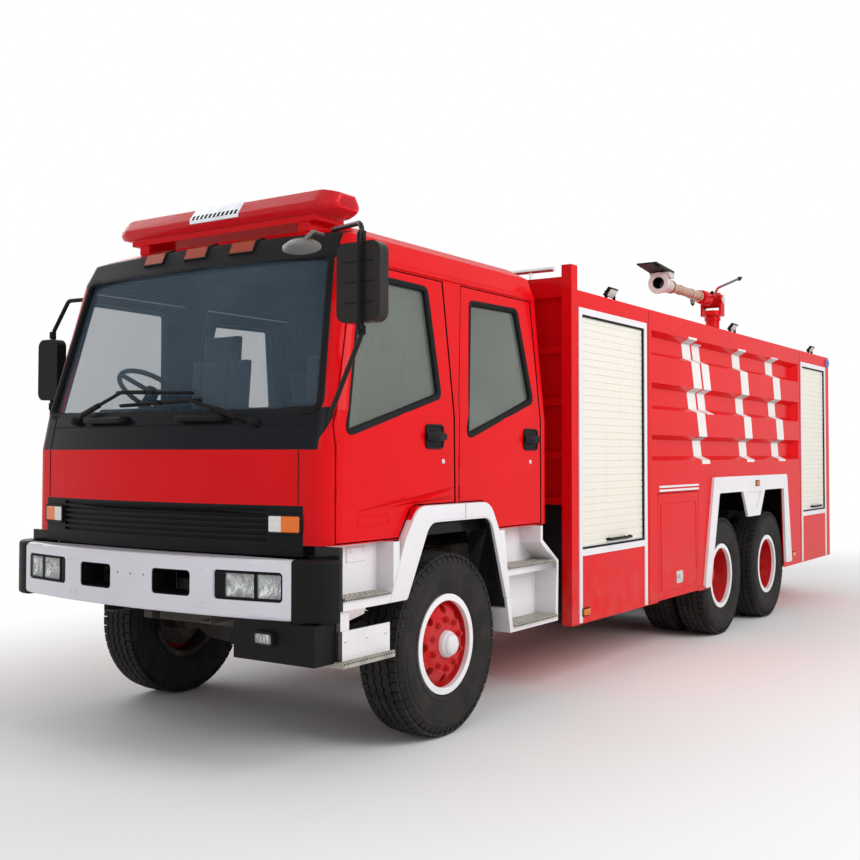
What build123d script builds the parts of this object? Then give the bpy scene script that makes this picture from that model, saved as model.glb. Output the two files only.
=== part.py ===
from build123d import *
import math
import os

# Six-by-four crew-cab water-tank fire engine, in millimetres.
# It is drawn from its front axle: X forward, Y left, Z up from the road.
# On export it moves so that the origin is at the middle of its footprint.

# Lengths along the truck
FRONT_OVERHANG = 1310
WHEELBASE = 4420
TANDEM_SPREAD = 1320
REAR_OVERHANG = 2220
LADDER_REACH = 130
OVERALL_LENGTH = FRONT_OVERHANG + WHEELBASE + TANDEM_SPREAD + REAR_OVERHANG + LADDER_REACH
AXLE_TO_ORIGIN = OVERALL_LENGTH / 2 - FRONT_OVERHANG
AXLE2 = -WHEELBASE
AXLE3 = AXLE2 - TANDEM_SPREAD
BODY_REAR = AXLE3 - REAR_OVERHANG

# Wheels and tyres
TYRE_RADIUS = 520
TYRE_WIDTH = 276
BEAD_RADIUS = 258
FLANGE_RADIUS = 283
RIM_WIDTH = 232
FRONT_WHEEL_Y = 1040
DUAL_SPACING = 325
REAR_OUTER_Y = 1092
SPINDLE_RADIUS = 45
REAR_SPINDLE_RADIUS = 60
RUNNING_CLEARANCE = 0.3
HAND_HOLES = 8
HAND_HOLE_RADIUS = 26
HAND_HOLE_CIRCLE = 196

# Steering
KINGPIN_Y = 900
KINGPIN_RADIUS = 25
EYE_RADIUS = 50
EYE_HEIGHT = 110
EAR_THICKNESS = 40

# Chassis frame
RAIL_TOP = 960
RAIL_DEPTH = 250
RAIL_FLANGE = 80
RAIL_WEB = 10
FRAME_HALF = 420
CROSS_MEMBERS = (1040, -1600, -2400, -3500, -5080, -6500, -7700)
CROSS_BOTTOM = 830
CROSS_TOP = RAIL_TOP - 35
CROSS_HALF = 35
TOW_SOCKET_RADIUS = 22
TOW_SOCKET_DEPTH = 40
TOW_SOCKET_FRONT = 1125
TOW_SOCKET_Y = 294
TOW_SOCKET_Z = 920
TOW_SOCKET_HALF = 42
TOW_JAW_RADIUS = 25
TOW_JAW_HEIGHT = 60
TOW_JAW_REACH = 105
TOW_JAW_EDGE = 45
TOW_JAW_Z = 780
TOW_JAW_HALF = 70
TOW_PLATE = 60
TOW_PLATE_DROP = 40
GUARD_HALF = 40
GUARD_SIDE_GAP = 15
HANGER_WIDTH = 60

# Cab
CAB_BOTTOM = 1140
CAB_WALL = 50
CAB_FLOOR = 60
CAB_SKIN = 25
CAB_TAIL_RADIUS = 60
# Columns: height, nose on the centre line, half width, bow of the front, front corner radius, tail
CAB_SECTIONS = (
    (CAB_BOTTOM, 1175, 1150, 130, 130, -1240),
    (1620, 1175, 1150, 130, 130, -1240),
    (1820, 1130, 1150, 130, 130, -1240),
    (2650, 882, 1070, 95, 100, -1235),
    (2765, 832, 1030, 90, 95, -1215),
    (2825, 690, 930, 75, 80, -1140),
)
WINDSCREEN_LOW = 1830
WINDSCREEN_TOP = 2640
WINDSCREEN_LOW_HALF = 1045
WINDSCREEN_TOP_HALF = 950
COWL_BOTTOM = CAB_SECTIONS[1][0]
COWL_HALF = 1075
FRONT_PANEL_BOTTOM = 1338
GRILLE_HALF = 1000
GRILLE_BOTTOM = 1085
GRILLE_SLOTS = 6
GRILLE_SLOT_DEPTH = 14
VISOR_BOTTOM = 2662
VISOR_TOP = 2790
VISOR_HALF = 985
VISOR_BACK = 560
GLASS_INSET = 22
GLASS_THICKNESS = 6
DOOR_GAP = 7
DOOR_REAR_GAP = 9
DOOR_HINGE_X = {"front": 992, "rear": -142}
DOOR_HINGE_Y = {"front": 1146, "rear": 1152}
DOOR_HINGE_RADIUS = 4.7
DOOR_HINGE_LENGTH = 70
DOOR_ARCH_SWING = 14
DOOR_HINGE_HEIGHTS = {"front": (1390, 1620), "rear": (1375, 1560)}
DOOR_BOTTOM = 1152
DOOR_TOP = 2600
ROOF_THICKNESS = 45
ROOF_SEAM = 2695

# Front wheel arch and cab steps
ARCH_FRONT = 470
ARCH_REAR = -520
ARCH_OUTER_TOP = 1315
ARCH_INNER_TOP = 1228
FLARE_IN = 1150
FLARE_OUT = 1200
STEP_BACK = 1085
STEP_FRONT = 1035
TREAD_THICKNESS = 14

# Bumper
BUMPER_BACK = 1130
BUMPER_END_X = 1200
BUMPER_HALF = 1030
BUMPER_BOTTOM = 777
BUMPER_TOP = 1075
BUMPER_CAP_HALF = 1213
BUMPER_EDGE_RADIUS = 28
CAP_EDGE_RADIUS = 20

# Body behind the cab
BODY_HALF = 1250
BODY_TOP = 2715
SKIRT_BOTTOM = 450
BULKHEAD_FRONT = -1390
BULKHEAD_PANEL = -1480
POST_TOP = 2880
POST_WIDTH = 75
BEAM_TOP = 2805
BEAM_BOTTOM = 2668
RIB_HEIGHTS = (2286, 1932, 1566, 1256)
RIB_WIDTH = 50
RIB_DEPTH = 45
TANK_FRONT = -2700
TANK_REAR = -6780
TUNNEL_HALF = 450
ARCH_WALL = 600
SHUTTER_DEPTH = 30
SHUTTER_THICKNESS = 20
SLAT_PITCH = 50
SLAT_GROOVE = 5
TRIM_PROUD = 8
TRIM_WIDTH = 45
ARCH_TRIM_PROUD = 22
# Columns: top, bottom of each pressed channel along the tank's sides
TANK_CHANNELS = ((2560, 2370), (2155, 1950), (1750, 1550))
CHANNEL_DEPTH = 70
CHANNEL_SLOPE = 70
REAR_ARCH_TOP = 1258
ARCH_SKIN = 10
WELL_ROOM = 40
DECK_HALF = 1080
DECK_THICKNESS = 6
DECK_MARGIN = 80

# Hatch low on each side, ahead of the rear wheels
HATCH_FRONT = -2865
HATCH_REAR = -3750
HATCH_TOP = 1296
HATCH_BOTTOM = 460
HATCH_THICKNESS = 30
HATCH_GAP = 6
HATCH_TOP_GAP = 11
HINGE_RADIUS = 5
ROOM_WALL = 60

# Roof monitor
MONITOR_X = -7620
MONITOR_AXIS_Z = 3440
MONITOR_NOZZLE_X = -5950

NODES = {}


def block(x, y, z):
    """Solid box between pairs of coordinates."""
    size = (x[1] - x[0], y[1] - y[0], z[1] - z[0])
    middle = ((x[0] + x[1]) / 2, (y[0] + y[1]) / 2, (z[0] + z[1]) / 2)
    return Pos(*middle) * Box(*size)


def side_plate(outline, y, radius=0):
    """Outline of (x, z) points, its corners rounded by radius, run across between two values of Y."""
    points = [(px, y[0], pz) for px, pz in outline]
    wire = FilletPolyline(*points, radius=radius, close=True) if radius else Polyline(*points, close=True)
    return extrude(make_face(wire), amount=y[1] - y[0], dir=(0, 1, 0))


def front_plate(outline, x, radius=0):
    """Outline of (y, z) points, its corners rounded by radius, run lengthwise between two values of X."""
    points = [(x[0], py, pz) for py, pz in outline]
    wire = FilletPolyline(*points, radius=radius, close=True) if radius else Polyline(*points, close=True)
    return extrude(make_face(wire), amount=x[1] - x[0], dir=(1, 0, 0))


def turned(outline, x, y, side):
    """Outline of (distance outboard, radius) points turned about a wheel's axis at x, TYRE_RADIUS up."""
    points = [(x, y + side * out, TYRE_RADIUS + r) for out, r in outline]
    axle = Axis((x, y, TYRE_RADIUS), (0, 1, 0))
    return revolve(make_face(Polyline(*points, close=True)), axis=axle)


def rod(start, end, radius):
    """Round bar between two points."""
    line = Line(start, end)
    return sweep(Plane(origin=start, z_dir=line % 0) * Circle(radius), path=line)


def tube_path(points, radius, bend):
    """Round bar along straight runs joined by arcs."""
    path = FilletPolyline(*points, radius=bend)
    return sweep(Plane(origin=path @ 0, z_dir=path % 0) * Circle(radius), path=path)


def mirrored(shape):
    """The same piece on the other side of the truck."""
    return mirror(shape, about=Plane.XZ)


def node(name, *shapes):
    """Keep one named piece, or like pieces that don't touch."""
    solids = [solid for shape in shapes for solid in shape.solids()]
    NODES[name] = solids


def pair(name, shape):
    """A piece and its mirror image on one node."""
    node(name, shape, mirrored(shape))


# Wheels

RIM_HALF = RIM_WIDTH / 2
SEAT_HALF = RIM_HALF - 18


def tyre(x, y):
    """Plain tyre: bead, bulging side walls and crown."""
    half = TYRE_WIDTH / 2
    wall = (
        (SEAT_HALF, BEAD_RADIUS),
        (SEAT_HALF + 6, FLANGE_RADIUS),
        (half - 6, FLANGE_RADIUS + 57),
        (half, FLANGE_RADIUS + 112),
        (half - 8, TYRE_RADIUS - 58),
        (half - 24, TYRE_RADIUS - 14),
    )
    crown = ((half / 2, TYRE_RADIUS - 2), (0, TYRE_RADIUS), (-half / 2, TYRE_RADIUS - 2))
    far_wall = tuple((-out, r) for out, r in reversed(wall))
    return turned(wall + crown + far_wall, x, y, 1)


def rim_ring(x, y):
    """Rim barrel with a flange at each edge."""
    inside = BEAD_RADIUS - 12
    outline = (
        (-RIM_HALF, inside),
        (RIM_HALF, inside),
        (RIM_HALF, FLANGE_RADIUS),
        (SEAT_HALF + 6, FLANGE_RADIUS),
        (SEAT_HALF, BEAD_RADIUS),
        (-SEAT_HALF, BEAD_RADIUS),
        (-SEAT_HALF - 6, FLANGE_RADIUS),
        (-RIM_HALF, FLANGE_RADIUS),
    )
    return turned(outline, x, y, 1)


def hand_holes(x, y, side, out, depth):
    """Round holes in the wheel disc, on a circle about the axle."""
    holes = []
    for index in range(HAND_HOLES):
        angle = 2 * math.pi * index / HAND_HOLES
        place = (
            x + HAND_HOLE_CIRCLE * math.cos(angle),
            y + side * out,
            TYRE_RADIUS + HAND_HOLE_CIRCLE * math.sin(angle),
        )
        holes.append(Pos(*place) * Rot(90, 0, 0) * Cylinder(HAND_HOLE_RADIUS, depth))
    return holes


def front_wheel(side):
    """Front wheel: domed disc, hub with its cap, brake drum and rim."""
    y = side * FRONT_WHEEL_Y
    bore = SPINDLE_RADIUS + RUNNING_CLEARANCE
    inside = BEAD_RADIUS - 12
    disc = (
        (160, 0), (160, 44), (148, 60), (112, 66), (108, 96), (104, 165), (84, 205), (52, inside),
        (12, inside), (30, 206), (-48, 206), (-48, bore), (96, bore), (96, 0),
    )
    wheel = rim_ring(0, y) + turned(disc, 0, y, side)
    for hole in hand_holes(0, y, side, 90, 90):
        wheel = wheel - hole
    return wheel


def rear_wheel(x, side):
    """Twin rims on one dished disc and hub."""
    outer = side * REAR_OUTER_Y
    inner = side * (REAR_OUTER_Y - DUAL_SPACING)
    bore = REAR_SPINDLE_RADIUS + RUNNING_CLEARANCE
    inside = BEAD_RADIUS - 12
    middle = DUAL_SPACING / 2
    disc = (
        (28, 0), (28, 70), (10, 92), (-middle + 60, 104), (-middle + 16, 112), (-middle + 16, 190),
        (-RIM_HALF + 30, inside), (-RIM_HALF, inside), (-middle - 8, 206), (-DUAL_SPACING - 60, 206),
        (-DUAL_SPACING - 60, bore), (-12, bore), (-12, 0),
    )
    neck = (
        (-DUAL_SPACING + RIM_HALF - 30, inside), (-DUAL_SPACING + RIM_HALF, inside),
        (-middle + 4, 196), (-middle - 30, 196),
    )
    wheel = rim_ring(x, outer) + rim_ring(x, inner)
    wheel = wheel + turned(disc, x, outer, side) + turned(neck, x, outer, side)
    for hole in hand_holes(x, outer, side, -middle + 8, 30):
        wheel = wheel - hole
    return wheel


def knuckle(side):
    """Kingpin, two ears round the axle's eye, and the spindle that carries the wheel."""
    y = side * KINGPIN_Y
    reach = EYE_HEIGHT / 2 + RUNNING_CLEARANCE + EAR_THICKNESS
    pin = Pos(0, y, TYRE_RADIUS) * Cylinder(KINGPIN_RADIUS, 2 * reach)
    body = pin
    for way in (-1, 1):
        height = TYRE_RADIUS + way * (reach - EAR_THICKNESS / 2)
        body = body + Pos(0, y, height) * Cylinder(EYE_RADIUS, EAR_THICKNESS)
    plate_in = KINGPIN_Y + EYE_RADIUS + 4
    plate_out = FRONT_WHEEL_Y - 56
    for way in (-1, 1):
        height = TYRE_RADIUS + way * (reach - EAR_THICKNESS / 2)
        low, high = height - EAR_THICKNESS / 2, height + EAR_THICKNESS / 2
        body = body + side_box((-EYE_RADIUS, EYE_RADIUS), (KINGPIN_Y, plate_out), (low, high), side)
    span = (TYRE_RADIUS - reach, TYRE_RADIUS + reach)
    body = body + side_box((-60, 60), (plate_in, plate_out), span, side)
    spindle_end = FRONT_WHEEL_Y + 90
    near, far = side * plate_out, side * spindle_end
    return body + rod((0, near, TYRE_RADIUS), (0, far, TYRE_RADIUS), SPINDLE_RADIUS)


def side_box(x, y, z, side):
    """Box given by its distances out from the middle, on one side of the truck."""
    near, far = sorted((side * y[0], side * y[1]))
    return block(x, (near, far), z)


for label, side in (("left", 1), ("right", -1)):
    node("wheel_front_" + label, front_wheel(side))
    node("tyre_front_" + label, tyre(0, side * FRONT_WHEEL_Y))
    node("knuckle_" + label, knuckle(side))
    for place, axle in (("middle", AXLE2), ("rear", AXLE3)):
        node("wheel_" + place + "_" + label, rear_wheel(axle, side))
        outer = tyre(axle, side * REAR_OUTER_Y)
        inner = tyre(axle, side * (REAR_OUTER_Y - DUAL_SPACING))
        node("tyres_" + place + "_" + label, outer, inner)

# Chassis: ladder frame, axles, springs and drive line

RAIL_BOTTOM = RAIL_TOP - RAIL_DEPTH
WEB_IN = FRAME_HALF - RAIL_WEB
LIP_IN = FRAME_HALF - RAIL_FLANGE
FRAME_REAR = BODY_REAR + 60
GUARD_TOP = SKIRT_BOTTOM + 110


def tow_socket():
    """Square boss ahead of the first cross member with the bore for the front tow eye."""
    across = (TOW_SOCKET_Y - TOW_SOCKET_HALF, TOW_SOCKET_Y + TOW_SOCKET_HALF)
    upright = (TOW_SOCKET_Z - TOW_SOCKET_HALF, TOW_SOCKET_Z + TOW_SOCKET_HALF)
    boss = block((CROSS_MEMBERS[0] + CROSS_HALF, TOW_SOCKET_FRONT), across, upright)
    bottom = (TOW_SOCKET_FRONT - TOW_SOCKET_DEPTH, TOW_SOCKET_Y, TOW_SOCKET_Z)
    return boss - rod(bottom, (TOW_SOCKET_FRONT + 1, TOW_SOCKET_Y, TOW_SOCKET_Z), TOW_SOCKET_RADIUS)


def tow_jaw():
    """Block behind the last cross plate with the upright bore for the rear tow pin."""
    low, high = TOW_JAW_Z, TOW_JAW_Z + TOW_JAW_HEIGHT
    x = BODY_REAR - TOW_JAW_REACH + TOW_JAW_EDGE
    jaw = block((BODY_REAR - TOW_JAW_REACH, FRAME_REAR), (-TOW_JAW_HALF, TOW_JAW_HALF), (low, high))
    return jaw - rod((x, 0, low - 1), (x, 0, high + 1), TOW_JAW_RADIUS)


def chassis_frame():
    """Two channel rails, opening inwards, with what is riveted between and behind them."""
    channel = (
        (FRAME_HALF, RAIL_BOTTOM), (FRAME_HALF, RAIL_TOP), (LIP_IN, RAIL_TOP), (LIP_IN, RAIL_TOP - RAIL_WEB),
        (WEB_IN, RAIL_TOP - RAIL_WEB), (WEB_IN, RAIL_BOTTOM + RAIL_WEB), (LIP_IN, RAIL_BOTTOM + RAIL_WEB),
        (LIP_IN, RAIL_BOTTOM),
    )
    rail = front_plate(channel, (FRAME_REAR, BUMPER_BACK))
    solids = [rail, mirrored(rail)]
    for x in CROSS_MEMBERS:
        solids.append(block((x - CROSS_HALF, x + CROSS_HALF), (-WEB_IN, WEB_IN), (CROSS_BOTTOM, CROSS_TOP)))
    guard_x = (FRAME_REAR - GUARD_HALF, FRAME_REAR + GUARD_HALF)
    guard_y = TUNNEL_HALF - GUARD_SIDE_GAP
    solids.append(block(guard_x, (-guard_y, guard_y), (SKIRT_BOTTOM, GUARD_TOP)))
    hanger = block((guard_x[0], FRAME_REAR), (WEB_IN - HANGER_WIDTH, WEB_IN), (GUARD_TOP, CROSS_TOP))
    plate_x = (FRAME_REAR, FRAME_REAR + TOW_PLATE)
    tow_plate = block(plate_x, (-WEB_IN, WEB_IN), (TOW_JAW_Z - TOW_PLATE_DROP, CROSS_TOP))
    socket = tow_socket()
    return [*solids, hanger, mirrored(hanger), tow_plate, tow_jaw(), socket, mirrored(socket)]


SPRING_IN = LIP_IN + 5
SPRING_OUT = FRAME_HALF - 5
BEAM_SEAT = 490
SPRING_HALF = 780


def front_beam():
    """Dropped forged beam with an eye at each end for the kingpin."""
    eye = (TYRE_RADIUS - EYE_HEIGHT / 2, TYRE_RADIUS + EYE_HEIGHT / 2)
    neck = KINGPIN_Y - EYE_RADIUS - 15
    outline = (
        (-KINGPIN_Y, eye[0] + 10), (-neck, eye[0] + 10), (-680, 395), (-520, 380), (520, 380), (680, 395),
        (neck, eye[0] + 10), (KINGPIN_Y, eye[0] + 10), (KINGPIN_Y, eye[1] - 10), (720, eye[1] - 35),
        (560, BEAM_SEAT), (-560, BEAM_SEAT), (-720, eye[1] - 35), (-KINGPIN_Y, eye[1] - 10),
    )
    beam = front_plate(outline, (-45, 45))
    for side in (-1, 1):
        beam = beam + Pos(0, side * KINGPIN_Y, TYRE_RADIUS) * Cylinder(EYE_RADIUS, EYE_HEIGHT)
    for side in (-1, 1):
        bore = Cylinder(KINGPIN_RADIUS + RUNNING_CLEARANCE, EYE_HEIGHT + 2)
        beam = beam - Pos(0, side * KINGPIN_Y, TYRE_RADIUS) * bore
    return beam


REAR_SPRING_IN = FRAME_HALF
REAR_SPRING_OUT = FRAME_HALF + 90
REAR_SEAT = 640


def rear_axle(x):
    """Axle tube with its differential, pinion nose, spring seats and spindles."""
    spindle_end = REAR_OUTER_Y - 20
    housing = rod((x, -610, TYRE_RADIUS), (x, 610, TYRE_RADIUS), 85)
    ends = ((x, -spindle_end, TYRE_RADIUS), (x, spindle_end, TYRE_RADIUS))
    housing = housing + rod(*ends, REAR_SPINDLE_RADIUS)
    bowl = Pos(x, 0, TYRE_RADIUS) * Sphere(210)
    nose = rod((x, 0, TYRE_RADIUS + 60), (x + 300, 0, TYRE_RADIUS + 60), 95)
    housing = housing + bowl + nose
    if x == AXLE2:
        housing = housing + rod((x - 300, 0, TYRE_RADIUS + 60), (x, 0, TYRE_RADIUS + 60), 70)
    for side in (-1, 1):
        span = (REAR_SPRING_IN + 5, REAR_SPRING_OUT - 5)
        housing = housing + side_box((x - 70, x + 70), span, (TYRE_RADIUS, REAR_SEAT), side)
    return housing


def springs():
    """Leaf packs: one over each end of the front beam, one inverted pack a side over the rear axles."""
    front = (
        (-SPRING_HALF, RAIL_BOTTOM), (-SPRING_HALF - 60, RAIL_BOTTOM), (-SPRING_HALF - 60, RAIL_BOTTOM - 70),
        (-120, BEAM_SEAT), (120, BEAM_SEAT), (SPRING_HALF + 60, RAIL_BOTTOM - 70),
        (SPRING_HALF + 60, RAIL_BOTTOM), (SPRING_HALF, RAIL_BOTTOM), (SPRING_HALF, RAIL_BOTTOM - 36),
        (120, BEAM_SEAT + 72), (-120, BEAM_SEAT + 72), (-SPRING_HALF, RAIL_BOTTOM - 36),
    )
    pivot = (AXLE2 + AXLE3) / 2
    rear = (
        (AXLE2 + 75, REAR_SEAT), (AXLE2 - 75, REAR_SEAT), (pivot, REAR_SEAT + 60), (AXLE3 + 75, REAR_SEAT),
        (AXLE3 - 75, REAR_SEAT), (AXLE3 - 75, REAR_SEAT + 36), (pivot - 130, REAR_SEAT + 200),
        (pivot + 130, REAR_SEAT + 200), (AXLE2 + 75, REAR_SEAT + 36),
    )
    packs = []
    for side in (-1, 1):
        packs.append(side_plate(front, sorted((side * SPRING_IN, side * SPRING_OUT))))
        packs.append(side_plate(rear, sorted((side * REAR_SPRING_IN, side * REAR_SPRING_OUT))))
    return packs


def drive_line():
    """Engine block on its mounts with the gearbox, the long shaft, and the short shaft between the axles."""
    engine = block((-620, 820), (-300, 300), (640, CAB_BOTTOM - 30))
    engine = engine + block((250, 350), (-WEB_IN, WEB_IN), (770, 850))
    gearbox = block((-1330, -620), (-190, 190), (640, 940))
    flange = AXLE2 + 300
    shaft_z = TYRE_RADIUS + 60
    end = (flange + 40, 0, shaft_z)
    shaft = rod((-1300, 0, 735), end, 55) + rod((flange, 0, shaft_z), (flange + 60, 0, shaft_z), 90)
    short = rod((AXLE3 + 300, 0, shaft_z), (AXLE2 - 300, 0, shaft_z), 50)
    return [engine + gearbox + shaft, short]


node("frame", *chassis_frame())
node("axles", front_beam(), rear_axle(AXLE2), rear_axle(AXLE3))
node("springs", *springs())
node("drive_line", *drive_line())

# Cab: nested hulls give the wall, the doors, the panels and the glass


def cab_section(row, inset, z):
    """One plan outline of the cab, drawn in by inset on every side."""
    _, nose, half, bow, corner, tail = row
    edge = half - inset
    corner_x = nose - bow - inset
    sides = Polyline((corner_x, -edge), (tail + inset, -edge), (tail + inset, edge), (corner_x, edge))
    front = ThreePointArc((corner_x, edge), (nose - inset, 0), (corner_x, -edge))
    face = make_face(sides + front)
    ends = face.vertices().sort_by(Axis.X)
    face = fillet(ends[-2:], corner - inset * 0.5)
    ends = face.vertices().sort_by(Axis.X)
    face = fillet(ends[:2], CAB_TAIL_RADIUS - inset * 0.5)
    return Pos(0, 0, z) * face


def cab_hull(inset, floor=0, roof=0):
    """The cab's outside, drawn in by inset, with its floor raised and its roof lowered."""
    faces = []
    last = len(CAB_SECTIONS) - 1
    for index, row in enumerate(CAB_SECTIONS):
        z = row[0] + (floor if index == 0 else 0) - (roof if index >= last - 1 else 0)
        faces.append(cab_section(row, inset, z))
    return loft(faces, ruled=True)


HULL = cab_hull(0)
HULL_SKIN = cab_hull(CAB_SKIN)
HULL_INSIDE = cab_hull(CAB_WALL, CAB_FLOOR, ROOF_THICKNESS)
GLASS_SHELL = cab_hull(GLASS_INSET) - cab_hull(GLASS_INSET + GLASS_THICKNESS)
WALL = HULL - HULL_INSIDE
SKIN = HULL - HULL_SKIN
CAB_FAR = 1400


def arch_outline(grow):
    """Edge of the front wheel arch where the doors end, grown outwards."""
    return (
        (ARCH_FRONT + grow, 700), (ARCH_FRONT + grow, CAB_BOTTOM), (345 + grow, ARCH_OUTER_TOP + grow),
        (-415 - grow, ARCH_OUTER_TOP + grow), (ARCH_REAR - grow, CAB_BOTTOM), (ARCH_REAR - grow, 700),
    )


DOOR_OUTLINES = {
    "front": ((990, DOOR_BOTTOM), (990, 1745), (755, DOOR_TOP), (-62, DOOR_TOP), (-90, DOOR_BOTTOM)),
    "rear": ((-135, DOOR_BOTTOM), (-150, 1900), (-275, DOOR_TOP), (-1120, DOOR_TOP), (-1130, DOOR_BOTTOM)),
}
WINDOW_OUTLINES = {
    "front": ((930, 1690), (712, 2550), (100, 2545), (45, 1925)),
    "rear": ((-225, 1690), (-365, 2520), (-935, 2530), (-1045, 1940)),
}


def door_face(name, grow):
    """Prism through the left side over a door's outline, grown by a gap, above the arch."""
    span = (STEP_BACK - 300, CAB_FAR)
    outline = side_plate(DOOR_OUTLINES[name], span)
    sketch = offset(outline.faces().sort_by(Axis.Y)[0], amount=grow, kind=Kind.INTERSECTION) if grow else None
    prism = extrude(sketch, amount=span[1] - span[0], dir=(0, 1, 0)) if grow else outline
    floor = block((ARCH_REAR * 4, CAB_FAR), (0, CAB_SECTIONS[0][2] - CAB_WALL), (0, CAB_BOTTOM + CAB_FLOOR))
    arch = side_plate(arch_outline(8 - grow), (0, CAB_FAR), 90)
    if name == "rear" and not grow:
        arch = arch + Pos(-DOOR_ARCH_SWING, 0, 0) * arch
    return prism - arch - floor


def door_opening(name):
    """What the wall leaves open for a door: wider at the door's rear edge, which swings."""
    prism = door_face(name, DOOR_GAP)
    return prism + Pos(-DOOR_REAR_GAP, 0, 0) * prism


WINDSCREEN_PRISM = front_plate(
    (
        (-WINDSCREEN_LOW_HALF, WINDSCREEN_LOW), (WINDSCREEN_LOW_HALF, WINDSCREEN_LOW),
        (WINDSCREEN_TOP_HALF, WINDSCREEN_TOP), (-WINDSCREEN_TOP_HALF, WINDSCREEN_TOP),
    ),
    (400, CAB_FAR), 45,
)
PANEL_BACK = 600
COWL_ZONE = block((PANEL_BACK, CAB_FAR), (-COWL_HALF, COWL_HALF), (COWL_BOTTOM, WINDSCREEN_LOW - 22))
PANEL_ZONE = block((PANEL_BACK, CAB_FAR), (-GRILLE_HALF, GRILLE_HALF), (FRONT_PANEL_BOTTOM, COWL_BOTTOM))
GRILLE_ZONE = block((PANEL_BACK, CAB_FAR), (-GRILLE_HALF, GRILLE_HALF), (CAB_BOTTOM, FRONT_PANEL_BOTTOM))
VISOR_SHAPE = SKIN & block((VISOR_BACK, CAB_FAR), (-VISOR_HALF, VISOR_HALF), (VISOR_BOTTOM, VISOR_TOP))

shell = WALL - WINDSCREEN_PRISM
for door in DOOR_OUTLINES:
    opening = door_opening(door)
    shell = shell - opening - mirrored(opening)
for zone in (COWL_ZONE, PANEL_ZONE, GRILLE_ZONE):
    shell = shell - (SKIN & zone)
shell = shell - VISOR_SHAPE
arch_cut = side_plate(arch_outline(0), (STEP_BACK, CAB_FAR), 90)
shell = shell - arch_cut - mirrored(arch_cut)
roof = block((-CAB_FAR, CAB_FAR), (-CAB_FAR, CAB_FAR), (ROOF_SEAM, ROOF_SEAM + CAB_FAR))
node("cab_shell", shell - roof, shell & roof)
node("cowl_panel", SKIN & COWL_ZONE)
node("front_panel", SKIN & PANEL_ZONE)
node("roof_visor", VISOR_SHAPE)
node("windscreen", GLASS_SHELL & WINDSCREEN_PRISM)

for name in DOOR_OUTLINES:
    window = side_plate(WINDOW_OUTLINES[name], (700, CAB_FAR), 45)
    door = (WALL & door_face(name, 0)) - window
    hinge_x, hinge_y = DOOR_HINGE_X[name], DOOR_HINGE_Y[name]
    for z in DOOR_HINGE_HEIGHTS[name]:
        low, high = z - DOOR_HINGE_LENGTH / 2, z + DOOR_HINGE_LENGTH / 2
        door = door + block((hinge_x - 30, hinge_x), (hinge_y - 26, hinge_y), (low, high))
        door = door + rod((hinge_x, hinge_y, low), (hinge_x, hinge_y, high), DOOR_HINGE_RADIUS)
    pane = GLASS_SHELL & window
    node("door_" + name + "_left", door)
    node("door_" + name + "_right", mirrored(door))
    node("glass_" + name + "_left", pane)
    node("glass_" + name + "_right", mirrored(pane))

# Grille with its slots, and the amber lamps

lamp_zone = block((PANEL_BACK, CAB_FAR), (815, 985), (1208, 1282))
LAMP_PROUD = 8
MARKER_YS = (-350, 0, 350)
MARKER_HALF = 65
MARKER_Z = (2735, 2785)
LAMP_SHELL = cab_hull(-LAMP_PROUD)
grille = SKIN & GRILLE_ZONE
skirt_outer = cab_section(CAB_SECTIONS[0], 0, GRILLE_BOTTOM)
skirt_inner = cab_section(CAB_SECTIONS[0], CAB_SKIN, GRILLE_BOTTOM)
skirt = extrude(skirt_outer - skirt_inner, amount=CAB_BOTTOM - GRILLE_BOTTOM, dir=(0, 0, 1))
skirt = skirt & block((PANEL_BACK, CAB_FAR), (-GRILLE_HALF, GRILLE_HALF), (GRILLE_BOTTOM, CAB_BOTTOM))
grille = grille + skirt
slot_ring = HULL - cab_hull(GRILLE_SLOT_DEPTH)
slot_pitch = (FRONT_PANEL_BOTTOM - CAB_BOTTOM - 16) / GRILLE_SLOTS
for index in range(GRILLE_SLOTS):
    low = CAB_BOTTOM + 16 + index * slot_pitch
    slot = block((PANEL_BACK, CAB_FAR), (-790, 790), (low, low + slot_pitch * 0.55))
    grille = grille - (slot_ring & slot)
lamp_seat = SKIN & lamp_zone
grille = grille - lamp_seat - mirrored(lamp_seat)
node("grille", grille)
turn_lamp = (LAMP_SHELL & lamp_zone) - HULL_SKIN
marker_lamps = []
for y in MARKER_YS:
    zone = block((VISOR_BACK, CAB_FAR), (y - MARKER_HALF, y + MARKER_HALF), MARKER_Z)
    marker_lamps.append((LAMP_SHELL - HULL) & zone)
node("amber_lamps", turn_lamp, mirrored(turn_lamp), *marker_lamps)

# Inside the cab

DASH_BACK = 760
DASH_HALF = 1000
dash_zone = block((DASH_BACK, CAB_FAR), (-DASH_HALF, DASH_HALF), (1480, 1800))
node("dashboard", HULL_INSIDE & dash_zone)
WHEEL_HUB = (610, -620, 1975)
wheel_lean = Location(WHEEL_HUB, (0, -35, 0))
steering = wheel_lean * Torus(215, 15)
steering = steering + wheel_lean * Cylinder(45, 40)
for angle in (90, 210, 330):
    spoke = Rot(0, 0, angle) * Pos(107, 0, 0) * Box(215, 34, 16)
    steering = steering + wheel_lean * spoke
column_foot = wheel_lean * Pos(0, 0, -300) * Cylinder(30, 600)
column = column_foot - (HULL_INSIDE & dash_zone)
column = column & block((0, DASH_BACK), (-CAB_FAR, CAB_FAR), (0, CAB_FAR * 2))
node("steering_wheel", steering + column)

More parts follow.
